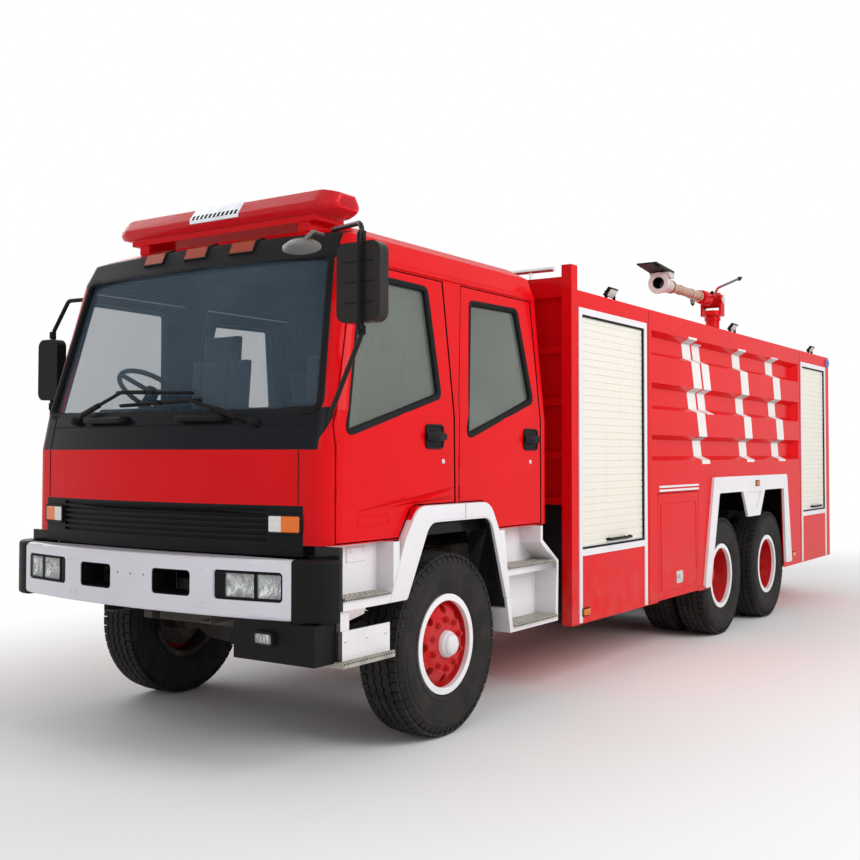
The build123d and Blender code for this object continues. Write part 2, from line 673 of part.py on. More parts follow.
# Columns: seat's front, back, left edge, right edge
SEATS = ((480, -60, -370, -870), (480, -60, 880, 130), (-700, -1170, 980, -980))
seat_solids = []
floor_top = CAB_BOTTOM + CAB_FLOOR
for front, rear, left, right in SEATS:
    outline = (
        (front - 90, floor_top), (front - 60, 1470), (front, 1490), (front, 1620), (rear + 160, 1600),
        (rear + 95, 2210), (rear + 10, 2210), (rear + 40, 1480), (rear + 60, floor_top),
    )
    seat_solids.append(side_plate(outline, (right, left)))
node("seats", *seat_solids)

# Light bar on the roof

# Columns: height, half length at the middle, along the edges, half width at the middle, at the ends
BAR_SECTIONS = ((2912, 890, 770, 140, 70), (2955, 930, 800, 165, 85), (3056, 815, 730, 105, 55))
BAR_X = 550
bar_faces = []
for height, tip, shoulder, wide, narrow in BAR_SECTIONS:
    quarter = ((wide, shoulder), (narrow, tip))
    plan = [*quarter, *[(-x, y) for x, y in reversed(quarter)]]
    plan = plan + [(x, -y) for x, y in reversed(plan)]
    bar_faces.append(make_face(Polyline(*[(BAR_X + x, y, height) for x, y in plan], close=True)))
node("light_bar_lens", loft(bar_faces, ruled=True))
bar_base = block((BAR_X - 120, BAR_X + 120), (-740, 740), (2880, 2912))
roof_z = CAB_SECTIONS[-1][0]
for y in (-640, 640):
    bar_base = bar_base + block((440, 660), (y - 40, y + 40), (roof_z, 2880))
node("light_bar_base", bar_base)

# Mirrors: the left one stands on the cab, the right one on its door

MIRROR_REACH = 1485
MIRROR_TUBE = 13
MIRROR_DEPTH = 70
MIRROR_CORNER = 50
LEFT_POST_IN = 135
LEFT_HEAD_WIDTH = 265
RIGHT_POST_IN = 95
RIGHT_ARM_BEND = 140
RIGHT_HEAD_WIDTH = 190


def mirror_head(x, y_out, width, z, depth):
    """Housing with rounded corners, open side to the rear."""
    low, high = z
    corners = ((y_out - width, low), (y_out, low), (y_out, high), (y_out - width, high))
    return front_plate(corners, (x - depth / 2, x + depth / 2), MIRROR_CORNER)


left_post = MIRROR_REACH - LEFT_POST_IN
left_arm = tube_path(
    ((800, 960, 2775), (1060, left_post, 2725), (1060, left_post, 2180), (1000, 1080, 1740)), MIRROR_TUBE, 60
)
left_mirror = (left_arm - HULL) + mirror_head(1060, MIRROR_REACH, LEFT_HEAD_WIDTH, (2235, 2625), MIRROR_DEPTH)
node("mirror_left", left_mirror)
right_post = -(MIRROR_REACH - RIGHT_POST_IN)
right_bend = right_post + RIGHT_ARM_BEND
right_arm = tube_path(
    (
        (735, -1040, 2572), (745, right_bend, 2575), (750, right_post, 2385), (760, right_post, 1800),
        (760, -1110, 1680),
    ),
    MIRROR_TUBE, 40,
)
right_head = mirrored(mirror_head(760, MIRROR_REACH, RIGHT_HEAD_WIDTH, (1940, 2330), MIRROR_DEPTH))
right_mirror = (right_arm - HULL) + right_head
node("mirror_right", right_mirror)

# Bumper, its end caps, the lamps in it and the black boxes below it

front_arc = ThreePointArc(
    (BUMPER_END_X, BUMPER_HALF), (FRONT_OVERHANG, 0), (BUMPER_END_X, -BUMPER_HALF)
)
back_line = Polyline(
    (BUMPER_END_X, -BUMPER_HALF), (BUMPER_BACK, -BUMPER_HALF), (BUMPER_BACK, BUMPER_HALF),
    (BUMPER_END_X, BUMPER_HALF),
)
bumper_plan = make_face(front_arc + back_line)
BUMPER_HEIGHT = BUMPER_TOP - BUMPER_BOTTOM
bumper_bar = extrude(Pos(0, 0, BUMPER_BOTTOM) * bumper_plan, amount=BUMPER_HEIGHT, dir=(0, 0, 1))
bumper_bar = fillet(bumper_bar.edges().filter_by(GeomType.CIRCLE), BUMPER_EDGE_RADIUS)
through = (BUMPER_BACK - 10, CAB_FAR)
lamp_pocket = front_plate(((576, 868), (983, 868), (983, 1016), (576, 1016)), through, 22)
air_slot = front_plate(((161, 870), (427, 870), (427, 1002), (161, 1002)), through, 22)
bumper = bumper_bar
for cut in (lamp_pocket, air_slot):
    bumper = bumper - cut - mirrored(cut)
node("bumper", bumper)
LAMP_SET_BACK = 18
head_lamp = (Pos(-LAMP_SET_BACK, 0, 0) * bumper_bar) & lamp_pocket
head_lamp = head_lamp & block((BUMPER_BACK, CAB_FAR), (0, CAB_FAR), (0, CAB_FAR))
fog_lamp = block((1190, 1218), (790, 925), (648, 716))
node("headlamps", head_lamp, mirrored(head_lamp), fog_lamp)
cap_edge = ThreePointArc((BUMPER_END_X, BUMPER_HALF), (1160, 1155), (1060, BUMPER_CAP_HALF))
cap_back = Polyline(
    (1060, BUMPER_CAP_HALF), (1045, BUMPER_CAP_HALF), (1045, 1130), (BUMPER_BACK, 1090),
    (BUMPER_BACK, BUMPER_HALF), (BUMPER_END_X, BUMPER_HALF),
)
CAP_DROP = 10
CAP_RISE = 5
cap_plan = Pos(0, 0, BUMPER_BOTTOM - CAP_DROP) * make_face(cap_edge + cap_back)
cap = extrude(cap_plan, amount=BUMPER_HEIGHT + CAP_DROP + CAP_RISE, dir=(0, 0, 1))
cap = fillet(cap.edges().filter_by(GeomType.CIRCLE), CAP_EDGE_RADIUS)
under_box = block((STEP_FRONT, 1190), (640, 1170), (568, BUMPER_BOTTOM - CAP_DROP))
under_box = under_box + block((1050, 1190), (640, 1020), (BUMPER_BOTTOM - CAP_DROP, BUMPER_BOTTOM))
node("bumper_ends", cap + under_box, mirrored(cap))

# Front arch flares with the cab steps

STEP_FLOOR = 868
UNIT_BOTTOM = 820


def flare_band():
    """White band round the arch, standing proud of the doors."""
    outer = (
        (612, UNIT_BOTTOM), (ARCH_FRONT, CAB_BOTTOM), (345, ARCH_OUTER_TOP), (-415, ARCH_OUTER_TOP),
        (ARCH_REAR, CAB_BOTTOM), (-660, 720), (-605, 720), (-425, ARCH_INNER_TOP), (235, ARCH_INNER_TOP),
        (455, UNIT_BOTTOM),
    )
    return side_plate(outer, (FLARE_IN, FLARE_OUT), 24)


def front_step():
    """Step box ahead of the wheel, open outwards above its floor."""
    box = block((520, 1030), (1000, FLARE_OUT - 5), (UNIT_BOTTOM, CAB_BOTTOM - 4))
    box = box + block((520, 1030), (1000, STEP_BACK), (UNIT_BOTTOM, CAB_BOTTOM))
    return box - block((575, 1005), (STEP_BACK, FLARE_OUT), (STEP_FLOOR, CAB_BOTTOM + 1))


def rear_step():
    """Step block behind the wheel with two recessed steps and a sloping rear edge."""
    outline = ((-520, 1136), (-1080, 1136), (-1080, 1045), (-1300, 895), (-1290, 500), (-660, 500))
    step = side_plate(outline, (960, FLARE_OUT - 5))
    step = step + block((-1060, -560), (960, STEP_BACK), (1100, CAB_BOTTOM))
    upper = ((-585, 1150), (-1050, 1150), (-1050, 1030), (-1255, 892), (-625, 892))
    lower = ((-640, 850), (-1262, 850), (-1258, 530), (-690, 530))
    for recess in (upper, lower):
        step = step - side_plate(recess, (1040, FLARE_OUT))
    return step


fender = flare_band() + front_step() + rear_step()
foot_plate = block((600, 1030), (1178, 1190), (575, 720))
foot_plate = foot_plate + block((930, 1030), (1100, 1178), (575, UNIT_BOTTOM))
node("fenders", fender + foot_plate, mirrored(fender))
foot_tread = block((600, STEP_FRONT), (1100, FLARE_OUT + 25), (545, 575))
treads = [
    block((612, 1000), (STEP_BACK, FLARE_OUT + 8), (STEP_FLOOR, STEP_FLOOR + TREAD_THICKNESS)),
    block((-1225, -630), (1040, FLARE_OUT + 12), (892, 892 + TREAD_THICKNESS)),
    block((-1252, -696), (1040, FLARE_OUT + 12), (530, 530 + TREAD_THICKNESS)),
]
node("step_treads", foot_tread, *treads, *[mirrored(tread) for tread in treads])

# Lockers, tank and their doors

# Columns: shutter's front, rear, bottom, top
SIDE_SHUTTERS = ((-1535, -2600, 952, 2555), (-6855, -7750, 985, 2550))
REAR_SHUTTER_HALF = 820
REAR_SHUTTER_Z = (985, 2550)


def shutter_slab(length, low, high):
    """Slatted curtain: its section in thickness and height, run along its length."""
    count = int((high - low) / SLAT_PITCH)
    pitch = (high - low) / count
    outline = [(0, low), (0, high)]
    for index in range(count, 0, -1):
        top = low + index * pitch
        outline.append((SHUTTER_THICKNESS, top - SLAT_GROOVE))
        outline.append((SHUTTER_THICKNESS, top - pitch + SLAT_GROOVE))
        outline.append((SHUTTER_THICKNESS - SLAT_GROOVE, top - pitch))
    outline.insert(2, (SHUTTER_THICKNESS - SLAT_GROOVE, high))
    return front_plate(outline, (-length / 2, length / 2))


def locker_core(front, rear):
    """Full-width box down to the skirt, with the tunnel for the chassis."""
    core = block((rear, front), (-BODY_HALF, BODY_HALF), (SKIRT_BOTTOM, BODY_TOP))
    return core - block((rear - 1, front + 1), (-TUNNEL_HALF, TUNNEL_HALF), (SKIRT_BOTTOM - 1, RAIL_TOP))


def front_locker():
    """Locker behind the cab with its ribbed front wall, corner posts and top beam."""
    locker = locker_core(BULKHEAD_PANEL, TANK_FRONT)
    post_in = BODY_HALF - POST_WIDTH
    post = block((BULKHEAD_PANEL, BULKHEAD_FRONT), (post_in, BODY_HALF), (SKIRT_BOTTOM, POST_TOP))
    locker = locker + post + mirrored(post)
    beam_x = (BULKHEAD_PANEL - 40, BULKHEAD_FRONT - 30)
    locker = locker + block(beam_x, (-post_in, post_in), (BEAM_BOTTOM, BEAM_TOP))
    rib_x = (BULKHEAD_PANEL, BULKHEAD_PANEL + RIB_DEPTH)
    for z in RIB_HEIGHTS:
        locker = locker + block(rib_x, (-post_in, post_in), (z, z + RIB_WIDTH))
    return locker


def rear_locker():
    """Pump room with its rear opening."""
    locker = locker_core(TANK_REAR, BODY_REAR)
    across = (-REAR_SHUTTER_HALF, REAR_SHUTTER_HALF)
    return locker - block((BODY_REAR - 1, BODY_REAR + SHUTTER_DEPTH), across, REAR_SHUTTER_Z)


def tank_body():
    """Tank section: pressed channels along each side, skirts, wheel arches and hatch recesses."""
    tank = block((TANK_REAR, TANK_FRONT), (-BODY_HALF, BODY_HALF), (SKIRT_BOTTOM, BODY_TOP))
    tunnel_x = (TANK_REAR - 1, TANK_FRONT + 1)
    tank = tank - block(tunnel_x, (-ARCH_WALL, ARCH_WALL), (SKIRT_BOTTOM - 1, RAIL_TOP))
    below = SKIRT_BOTTOM - 10
    arch = ((-3985, below), (-4215, REAR_ARCH_TOP), (-6110, REAR_ARCH_TOP), (-6175, below))
    arch = side_plate(arch, (ARCH_WALL, BODY_HALF + 10), 9)
    well_ends = (AXLE3 - TYRE_RADIUS - WELL_ROOM, AXLE2 + TYRE_RADIUS + WELL_ROOM)
    well = block(well_ends, (ARCH_WALL, BODY_HALF - ARCH_SKIN), (below, REAR_ARCH_TOP))
    length = TANK_FRONT - TANK_REAR - 110
    middle = (TANK_FRONT + TANK_REAR) / 2
    cuts = [arch, well]
    for top, bottom in TANK_CHANNELS:
        height = top - bottom
        centre = (top + bottom) / 2
        side = Plane((middle, BODY_HALF, centre), x_dir=(1, 0, 0), z_dir=(0, 1, 0))
        mouth = side * Rectangle(length, height)
        bed = side.offset(-CHANNEL_DEPTH) * Rectangle(length - 2 * CHANNEL_SLOPE, height - CHANNEL_SLOPE)
        cuts.append(loft([bed, mouth], ruled=True))
    seat_y = (BODY_HALF - HATCH_THICKNESS, BODY_HALF + 10)
    cuts.append(block((HATCH_REAR, HATCH_FRONT), seat_y, (SKIRT_BOTTOM - 1, HATCH_TOP)))
    room_x = (HATCH_REAR + ROOM_WALL, HATCH_FRONT - ROOM_WALL)
    room_z = (SKIRT_BOTTOM + ROOM_WALL, HATCH_TOP - ROOM_WALL)
    cuts.append(block(room_x, (ARCH_WALL + ROOM_WALL, BODY_HALF), room_z))
    for cut in cuts:
        tank = tank - cut - mirrored(cut)
    deck_x = (TANK_REAR + DECK_MARGIN, TANK_FRONT - DECK_MARGIN)
    return tank + block(deck_x, (-DECK_HALF, DECK_HALF), (BODY_TOP, BODY_TOP + DECK_THICKNESS))


def side_recess(row):
    """Recess that a side shutter stands in."""
    front, rear, low, high = row
    return block((rear, front), (BODY_HALF - SHUTTER_DEPTH, BODY_HALF + 10), (low, high))


lockers = [front_locker(), rear_locker()]
curtains = []
frames = []
for index, row in enumerate(SIDE_SHUTTERS):
    front, rear, low, high = row
    recess = side_recess(row)
    lockers[index] = lockers[index] - recess - mirrored(recess)
    slab = shutter_slab(front - rear, low, high)
    slab = Pos((front + rear) / 2, BODY_HALF - SHUTTER_DEPTH, 0) * slab
    curtains += [slab, mirrored(slab)]
    proud = (BODY_HALF, BODY_HALF + TRIM_PROUD)
    surround = block((rear - TRIM_WIDTH, front + TRIM_WIDTH), proud, (SKIRT_BOTTOM + 10, high + TRIM_WIDTH))
    for hole in ((low, high), (SKIRT_BOTTOM, low - TRIM_WIDTH)):
        surround = surround - block((rear, front), (BODY_HALF - 1, BODY_HALF + 20), hole)
    frames += [surround, mirrored(surround)]
node("front_locker", lockers[0])
node("rear_locker", lockers[1])
node("tank_body", tank_body())
rear_curtain = Rot(0, 0, 90) * shutter_slab(2 * REAR_SHUTTER_HALF, *REAR_SHUTTER_Z)
curtains.append(Pos(BODY_REAR + SHUTTER_DEPTH, 0, 0) * rear_curtain)
node("roller_shutters", *curtains)
for low, high in ((HATCH_TOP + 10, HATCH_TOP + 26), (HATCH_TOP + 40, HATCH_TOP + 56)):
    strip = block((HATCH_REAR + 10, HATCH_FRONT - 25), (BODY_HALF, BODY_HALF + TRIM_PROUD), (low, high))
    frames += [strip, mirrored(strip)]
node("shutter_frames", *frames)

hatch = block(
    (HATCH_REAR + HATCH_GAP, HATCH_FRONT - HATCH_GAP),
    (BODY_HALF - HATCH_THICKNESS + RUNNING_CLEARANCE, BODY_HALF),
    (HATCH_BOTTOM, HATCH_TOP - HATCH_TOP_GAP),
)
hinge_z = HATCH_TOP - HATCH_TOP_GAP
hinge = rod(
    (HATCH_REAR + HATCH_GAP, BODY_HALF, hinge_z), (HATCH_FRONT - HATCH_GAP, BODY_HALF, hinge_z), HINGE_RADIUS
)
hatch = hatch + hinge
node("hatch_left", hatch)
node("hatch_right", mirrored(hatch))


def arch_trim():
    """White band round the rear wheel arch with the gusset that hangs between the wheels."""
    band = (
        (-3844, SKIRT_BOTTOM + 16), (-4085, 1400), (-6225, 1400), (-6385, SKIRT_BOTTOM + 50),
        (-6175, SKIRT_BOTTOM + 50), (-6110, REAR_ARCH_TOP), (-4215, REAR_ARCH_TOP),
        (-3985, SKIRT_BOTTOM + 16),
    )
    proud = (BODY_HALF, BODY_HALF + ARCH_TRIM_PROUD)
    trim = side_plate(band, proud, 30)
    gusset = ((-4820, REAR_ARCH_TOP + 40), (-4984, 1020), (-5341, 1020), (-5520, REAR_ARCH_TOP + 40))
    hollow = ((-4960, REAR_ARCH_TOP - 10), (-5060, 1085), (-5265, 1085), (-5380, REAR_ARCH_TOP - 10))
    return trim + side_plate(gusset, proud) - side_plate(hollow, (BODY_HALF + TRIM_PROUD, BODY_HALF + 30))


pair("arch_trims", arch_trim())

# Rear ladder, tail lamps and roof lights

RUNG_PITCH = 300
RUNG_COUNT = 6
STILE_RADIUS = 18
RUNG_RADIUS = 14
LADDER_TOP = 2860
LADDER_FOOT = 860
LADDER_ROOF_REACH = 150
ladder_x = BODY_REAR - LADDER_REACH + STILE_RADIUS
ladder_ys = (-1190, -900)
roof_x = BODY_REAR + LADDER_ROOF_REACH
ladder = None
for y in ladder_ys:
    foot = ((BODY_REAR, y, LADDER_FOOT), (ladder_x, y, LADDER_FOOT))
    head = ((ladder_x, y, LADDER_TOP), (roof_x, y, LADDER_TOP), (roof_x, y, BODY_TOP))
    stile = tube_path((*foot, *head), STILE_RADIUS, 60)
    ladder = stile if ladder is None else ladder + stile
for index in range(RUNG_COUNT):
    z = LADDER_FOOT + 100 + index * RUNG_PITCH
    ladder = ladder + rod((ladder_x, ladder_ys[0], z), (ladder_x, ladder_ys[1], z), RUNG_RADIUS)
tail = block((BODY_REAR - 25, BODY_REAR), (860, 1210), (590, 720))
node("tail_lamps", tail, mirrored(tail))

LIGHT_XS = (-2124, -4795, -7408)
LIGHT_EDGE = 15
LIGHT_WIDTH = 75
LIGHT_FOOT = 22
LIGHT_HEIGHT = 95
lights = []
light_y = (BODY_HALF - LIGHT_EDGE - LIGHT_WIDTH, BODY_HALF - LIGHT_EDGE)
for x in LIGHT_XS:
    foot = block((x - 65, x + 65), (light_y[0] + 5, light_y[1] - 20), (BODY_TOP, BODY_TOP + LIGHT_FOOT))
    light = foot + block((x - 70, x + 70), light_y, (BODY_TOP + LIGHT_FOOT, BODY_TOP + LIGHT_HEIGHT))
    lights += [light, mirrored(light)]
rail_z = POST_TOP - 10
rail_x = BULKHEAD_FRONT - 75
rail = rod((rail_x, -1080, rail_z), (rail_x, 1080, rail_z), 17)
for y in (-900, 0, 900):
    rail = rail + rod((rail_x, y, BEAM_TOP), (rail_x, y, rail_z), 13)
node("ladder_and_rail", ladder, rail)
node("work_lights", *lights)

# Water monitor on the roof: pedestal, swivel and barrel

PEDESTAL_TOP = 3250
PEDESTAL_RADIUS = 80
PEDESTAL_FOOT = (190, 30)
SWIVEL_RADIUS = 126
SWIVEL_HEIGHT = 60
CHEEK_IN = 98
CHEEK_OUT = 126
CHEEK_RADIUS = 60
TRUNNION_RADIUS = 20
BARREL_BOSS = (90, 90)
BARREL_RADIUS = 52
NOZZLE_LENGTH = 300
NOZZLE_RADII = (66, 112)
NOZZLE_BORE = 62
NOZZLE_BORE_DEPTH = 200
DEFLECTOR_HALF = 110
LEVER_RADIUS = 14


def across_monitor(half, radius):
    """Round bar along the axis that the barrel rises about."""
    return rod((MONITOR_X, -half, MONITOR_AXIS_Z), (MONITOR_X, half, MONITOR_AXIS_Z), radius)


def monitor_swivel():
    """Turntable with a cheek on each side and the trunnion between them."""
    floor = PEDESTAL_TOP + RUNNING_CLEARANCE
    swivel = Pos(MONITOR_X, 0, floor + SWIVEL_HEIGHT / 2) * Cylinder(SWIVEL_RADIUS, SWIVEL_HEIGHT)
    cheek_x = (MONITOR_X - CHEEK_RADIUS, MONITOR_X + CHEEK_RADIUS)
    for side in (-1, 1):
        cheek = side_box(cheek_x, (CHEEK_IN, CHEEK_OUT), (floor, MONITOR_AXIS_Z), side)
        near, far = side * CHEEK_IN, side * CHEEK_OUT
        end = rod((MONITOR_X, near, MONITOR_AXIS_Z), (MONITOR_X, far, MONITOR_AXIS_Z), CHEEK_RADIUS)
        swivel = swivel + cheek + end
    return swivel + across_monitor(CHEEK_OUT, TRUNNION_RADIUS)


def monitor_barrel():
    """Barrel with its flared nozzle, the deflector over it and the lever behind."""
    boss_half, boss_radius = BARREL_BOSS
    throat = MONITOR_NOZZLE_X - NOZZLE_LENGTH
    barrel = across_monitor(boss_half, boss_radius)
    barrel = barrel + rod((MONITOR_X, 0, MONITOR_AXIS_Z), (throat, 0, MONITOR_AXIS_Z), BARREL_RADIUS)
    ends = []
    for x, radius in zip((throat, MONITOR_NOZZLE_X), NOZZLE_RADII):
        ends.append(Plane((x, 0, MONITOR_AXIS_Z), z_dir=(1, 0, 0)) * Circle(radius))
    # Columns: ahead of the nozzle's end, above the barrel's middle
    blade = ((-180, 60), (-180, 140), (320, 175), (320, 160), (-20, 120), (-60, 60))
    outline = [(MONITOR_NOZZLE_X + x, MONITOR_AXIS_Z + z) for x, z in blade]
    barrel = barrel + loft(ends, ruled=True) + side_plate(outline, (-DEFLECTOR_HALF, DEFLECTOR_HALF))
    mouth = (MONITOR_NOZZLE_X + 1, 0, MONITOR_AXIS_Z)
    barrel = barrel - rod((MONITOR_NOZZLE_X - NOZZLE_BORE_DEPTH, 0, MONITOR_AXIS_Z), mouth, NOZZLE_BORE)
    # Columns: ahead of the pivot, to the left, above it
    lever = ((20, 0, 0), (-20, 60, 150), (-320, 250, 300))
    path = [(MONITOR_X + x, y, MONITOR_AXIS_Z + z) for x, y, z in lever]
    barrel = barrel + tube_path(path, LEVER_RADIUS, 60)
    return barrel - across_monitor(boss_half + 5, TRUNNION_RADIUS + RUNNING_CLEARANCE)


foot_radius, foot_height = PEDESTAL_FOOT
pedestal = Pos(MONITOR_X, 0, BODY_TOP + foot_height / 2) * Cylinder(foot_radius, foot_height)
column_middle = (BODY_TOP + PEDESTAL_TOP) / 2
pedestal = pedestal + Pos(MONITOR_X, 0, column_middle) * Cylinder(PEDESTAL_RADIUS, PEDESTAL_TOP - BODY_TOP)
node("monitor_base", pedestal)
node("monitor_swivel", monitor_swivel())
node("monitor_barrel", monitor_barrel())

# Write each node about the middle of the truck's footprint

os.makedirs("parts", exist_ok=True)
shift = Pos(AXLE_TO_ORIGIN, 0, 0)
for name, solids in NODES.items():
    moved = [shift * solid for solid in solids]
    whole = Compound(children=moved) if len(moved) > 1 else moved[0]
    export_step(whole, os.path.join("parts", name + ".step"))
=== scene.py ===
"""Looks of the forest fire truck: finishes, tyres, small hardware, lamps, seats, stage and camera.

All lengths are in metres. Places are given from the front axle, X forward, Y to the truck's left and
Z up from the road, and move forward by FRONT_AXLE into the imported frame.
"""
from __future__ import annotations

import logging
import math
from dataclasses import dataclass, field
from enum import Enum
from typing import Callable, Iterable, Sequence

import bmesh
import bpy
from mathutils import Matrix, Vector

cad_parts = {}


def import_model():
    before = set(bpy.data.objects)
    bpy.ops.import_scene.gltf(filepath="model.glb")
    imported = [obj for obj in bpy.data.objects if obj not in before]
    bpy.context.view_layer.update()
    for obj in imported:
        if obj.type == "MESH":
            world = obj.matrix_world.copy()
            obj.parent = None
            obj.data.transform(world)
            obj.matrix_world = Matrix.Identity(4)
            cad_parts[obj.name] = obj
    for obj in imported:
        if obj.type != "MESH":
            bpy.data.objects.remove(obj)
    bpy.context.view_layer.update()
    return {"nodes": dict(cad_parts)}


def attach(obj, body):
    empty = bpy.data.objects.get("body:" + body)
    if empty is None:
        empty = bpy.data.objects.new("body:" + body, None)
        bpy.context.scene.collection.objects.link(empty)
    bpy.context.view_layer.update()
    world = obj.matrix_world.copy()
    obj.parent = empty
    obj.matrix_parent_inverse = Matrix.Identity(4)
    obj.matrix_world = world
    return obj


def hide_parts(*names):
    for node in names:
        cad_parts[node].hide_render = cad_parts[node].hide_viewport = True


LOG = logging.getLogger("fire_truck")
FRONT_AXLE = 3.390
AXLE_X = {"front": 0.0, "middle": -4.42, "rear": -5.74}
TYRE_RADIUS = 0.520
SIDES = {"left": 1.0, "right": -1.0}
UP = Vector((0.0, 0.0, 1.0))
LEFT = Vector((0.0, 1.0, 0.0))
AHEAD = Vector((1.0, 0.0, 0.0))
SMOOTH_ANGLE = math.radians(32)
Colour = tuple[float, float, float]


class Value:
    """A number that varies over a surface; Python arithmetic on it adds Math nodes."""

    def __init__(self, graph: "Graph", socket: bpy.types.NodeSocket) -> None:
        """Wrap one output socket of a graph."""
        self.graph = graph
        self.socket = socket

    def _join(self, operation: str, left: object, right: object) -> "Value":
        """Add one Math node for an operation on two values."""
        node = self.graph.node("ShaderNodeMath", {"operation": operation}, {0: left, 1: right})
        return Value(self.graph, node.outputs[0])

    def __add__(self, other: object) -> "Value":
        """Sum."""
        return self._join("ADD", self, other)

    def __radd__(self, other: object) -> "Value":
        """Sum, reflected."""
        return self._join("ADD", other, self)

    def __sub__(self, other: object) -> "Value":
        """Difference."""
        return self._join("SUBTRACT", self, other)

    def __rsub__(self, other: object) -> "Value":
        """Difference, reflected."""
        return self._join("SUBTRACT", other, self)

    def __mul__(self, other: object) -> "Value":
        """Product."""
        return self._join("MULTIPLY", self, other)

    def __rmul__(self, other: object) -> "Value":
        """Product, reflected."""
        return self._join("MULTIPLY", other, self)

    def __truediv__(self, other: object) -> "Value":
        """Quotient."""
        return self._join("DIVIDE", self, other)

    def __pow__(self, other: object) -> "Value":
        """Power."""
        return self._join("POWER", self, other)

    def __abs__(self) -> "Value":
        """Size without sign."""
        return self._join("ABSOLUTE", self, 0.0)

    def over(self, edge: float, soft: float = 0.002) -> "Value":
        """Mask that is 1 where the value lies above an edge.

        Args:
            edge: Value at the middle of the change.
            soft: Half the width of the change.

        Returns:
            The mask, from 0 to 1.
        """
        settings = {"interpolation_type": "SMOOTHSTEP", "clamp": True}
        node = self.graph.node(
            "ShaderNodeMapRange", settings, {"Value": self, "From Min": edge - soft, "From Max": edge + soft}
        )
        return Value(self.graph, node.outputs[0])


class Graph:
    """One material's node tree, with its surface coordinates."""

    def __init__(self, name: str) -> None:
        """Start a material with an empty tree."""
        self.material = bpy.data.materials.new(name)
        self.material.use_nodes = True
        self.tree = self.material.node_tree
        self.tree.nodes.clear()
        places = self.node("ShaderNodeTexCoord", {}, {})
        self.point, self.normal = places.outputs["Object"], places.outputs["Normal"]
        parts = self.node("ShaderNodeSeparateXYZ", {}, {0: self.point})
        self.x, self.y, self.z = (Value(self, out) for out in parts.outputs)

    def node(self, kind: str, settings: dict, values: dict) -> bpy.types.Node:
        """Add one node.

        Args:
            kind: The node's type.
            settings: Attributes set before its sockets; "stops" fills a colour ramp.
            values: Numbers, colours, sockets or Values for its inputs, by index or name.

        Returns:
            The node.
        """
        node = self.tree.nodes.new(kind)
        for key, value in settings.items():
            if key == "stops":
                for element, (place, colour) in zip(node.color_ramp.elements, value):
                    element.position, element.color = place, (*colour, 1.0)
            else:
                setattr(node, key, value)
        for key, value in values.items():
            if isinstance(value, Value):
                value = value.socket
            if isinstance(value, bpy.types.NodeSocket):
                self.tree.links.new(value, node.inputs[key])
            else:
                node.inputs[key].default_value = value
        return node

    def noise(self, scale: float, detail: float = 2.0, stretch: Sequence[float] = (1, 1, 1)) -> Value:
        """Smooth noise from 0 to 1, stretched along the axes."""
        moved = self.node("ShaderNodeMapping", {}, {"Vector": self.point, "Scale": tuple(stretch)})
        node = self.node(
            "ShaderNodeTexNoise", {}, {"Vector": moved.outputs[0], "Scale": scale, "Detail": detail}
        )
        return Value(self, node.outputs[0])

    def cells(self, scale: float, feature: str = "F1") -> Value:
        """Distance to scattered points, for grain and pits."""
        node = self.node("ShaderNodeTexVoronoi", {"feature": feature}, {"Vector": self.point, "Scale": scale})
        return Value(self, node.outputs[0])

    def mix(self, first: object, second: object, factor: object) -> bpy.types.NodeSocket:
        """Colour between two, by a factor."""
        wide = [(*c, 1.0) if isinstance(c, tuple) and len(c) == 3 else c for c in (first, second)]
        node = self.node("ShaderNodeMix", {"data_type": "RGBA"}, {0: factor, 6: wide[0], 7: wide[1]})
        return node.outputs[2]

    def bump(self, height: Value, distance: float, strength: float = 1.0) -> bpy.types.NodeSocket:
        """Normal tilted by a height in metres."""
        values = {"Height": height, "Distance": distance, "Strength": strength}
        return self.node("ShaderNodeBump", {}, values).outputs[0]

    def shade(self, **sockets: object) -> bpy.types.Material:
        """End the tree in a principled shader; words in socket names are joined by underscores."""
        values = {key.replace("_", " "): value for key, value in sockets.items()}
        for key, value in values.items():
            if isinstance(value, tuple) and len(value) == 3:
                values[key] = (*value, 1.0)
        shader = self.node("ShaderNodeBsdfPrincipled", {}, values)
        self.node("ShaderNodeOutputMaterial", {}, {0: shader.outputs[0]})
        return self.material


MADE: dict[str, bpy.types.Material] = {}


@dataclass(frozen=True)
class Finish:
    """What a surface is made of and which slot of the record it belongs to."""

    name: str
    slot: str
    colour: Colour

    def surface(self, graph: Graph) -> bpy.types.Material:
        """Build the shader; a finish of its own kind overrides this."""
        return graph.shade(Base_Color=self.colour)

    def material(self) -> bpy.types.Material:
        """The finish's material, made once."""
        if self.name not in MADE:
            MADE[self.name] = self.surface(Graph(self.name))
        return MADE[self.name]


ROAD_DUST: Colour = (0.34, 0.29, 0.23)


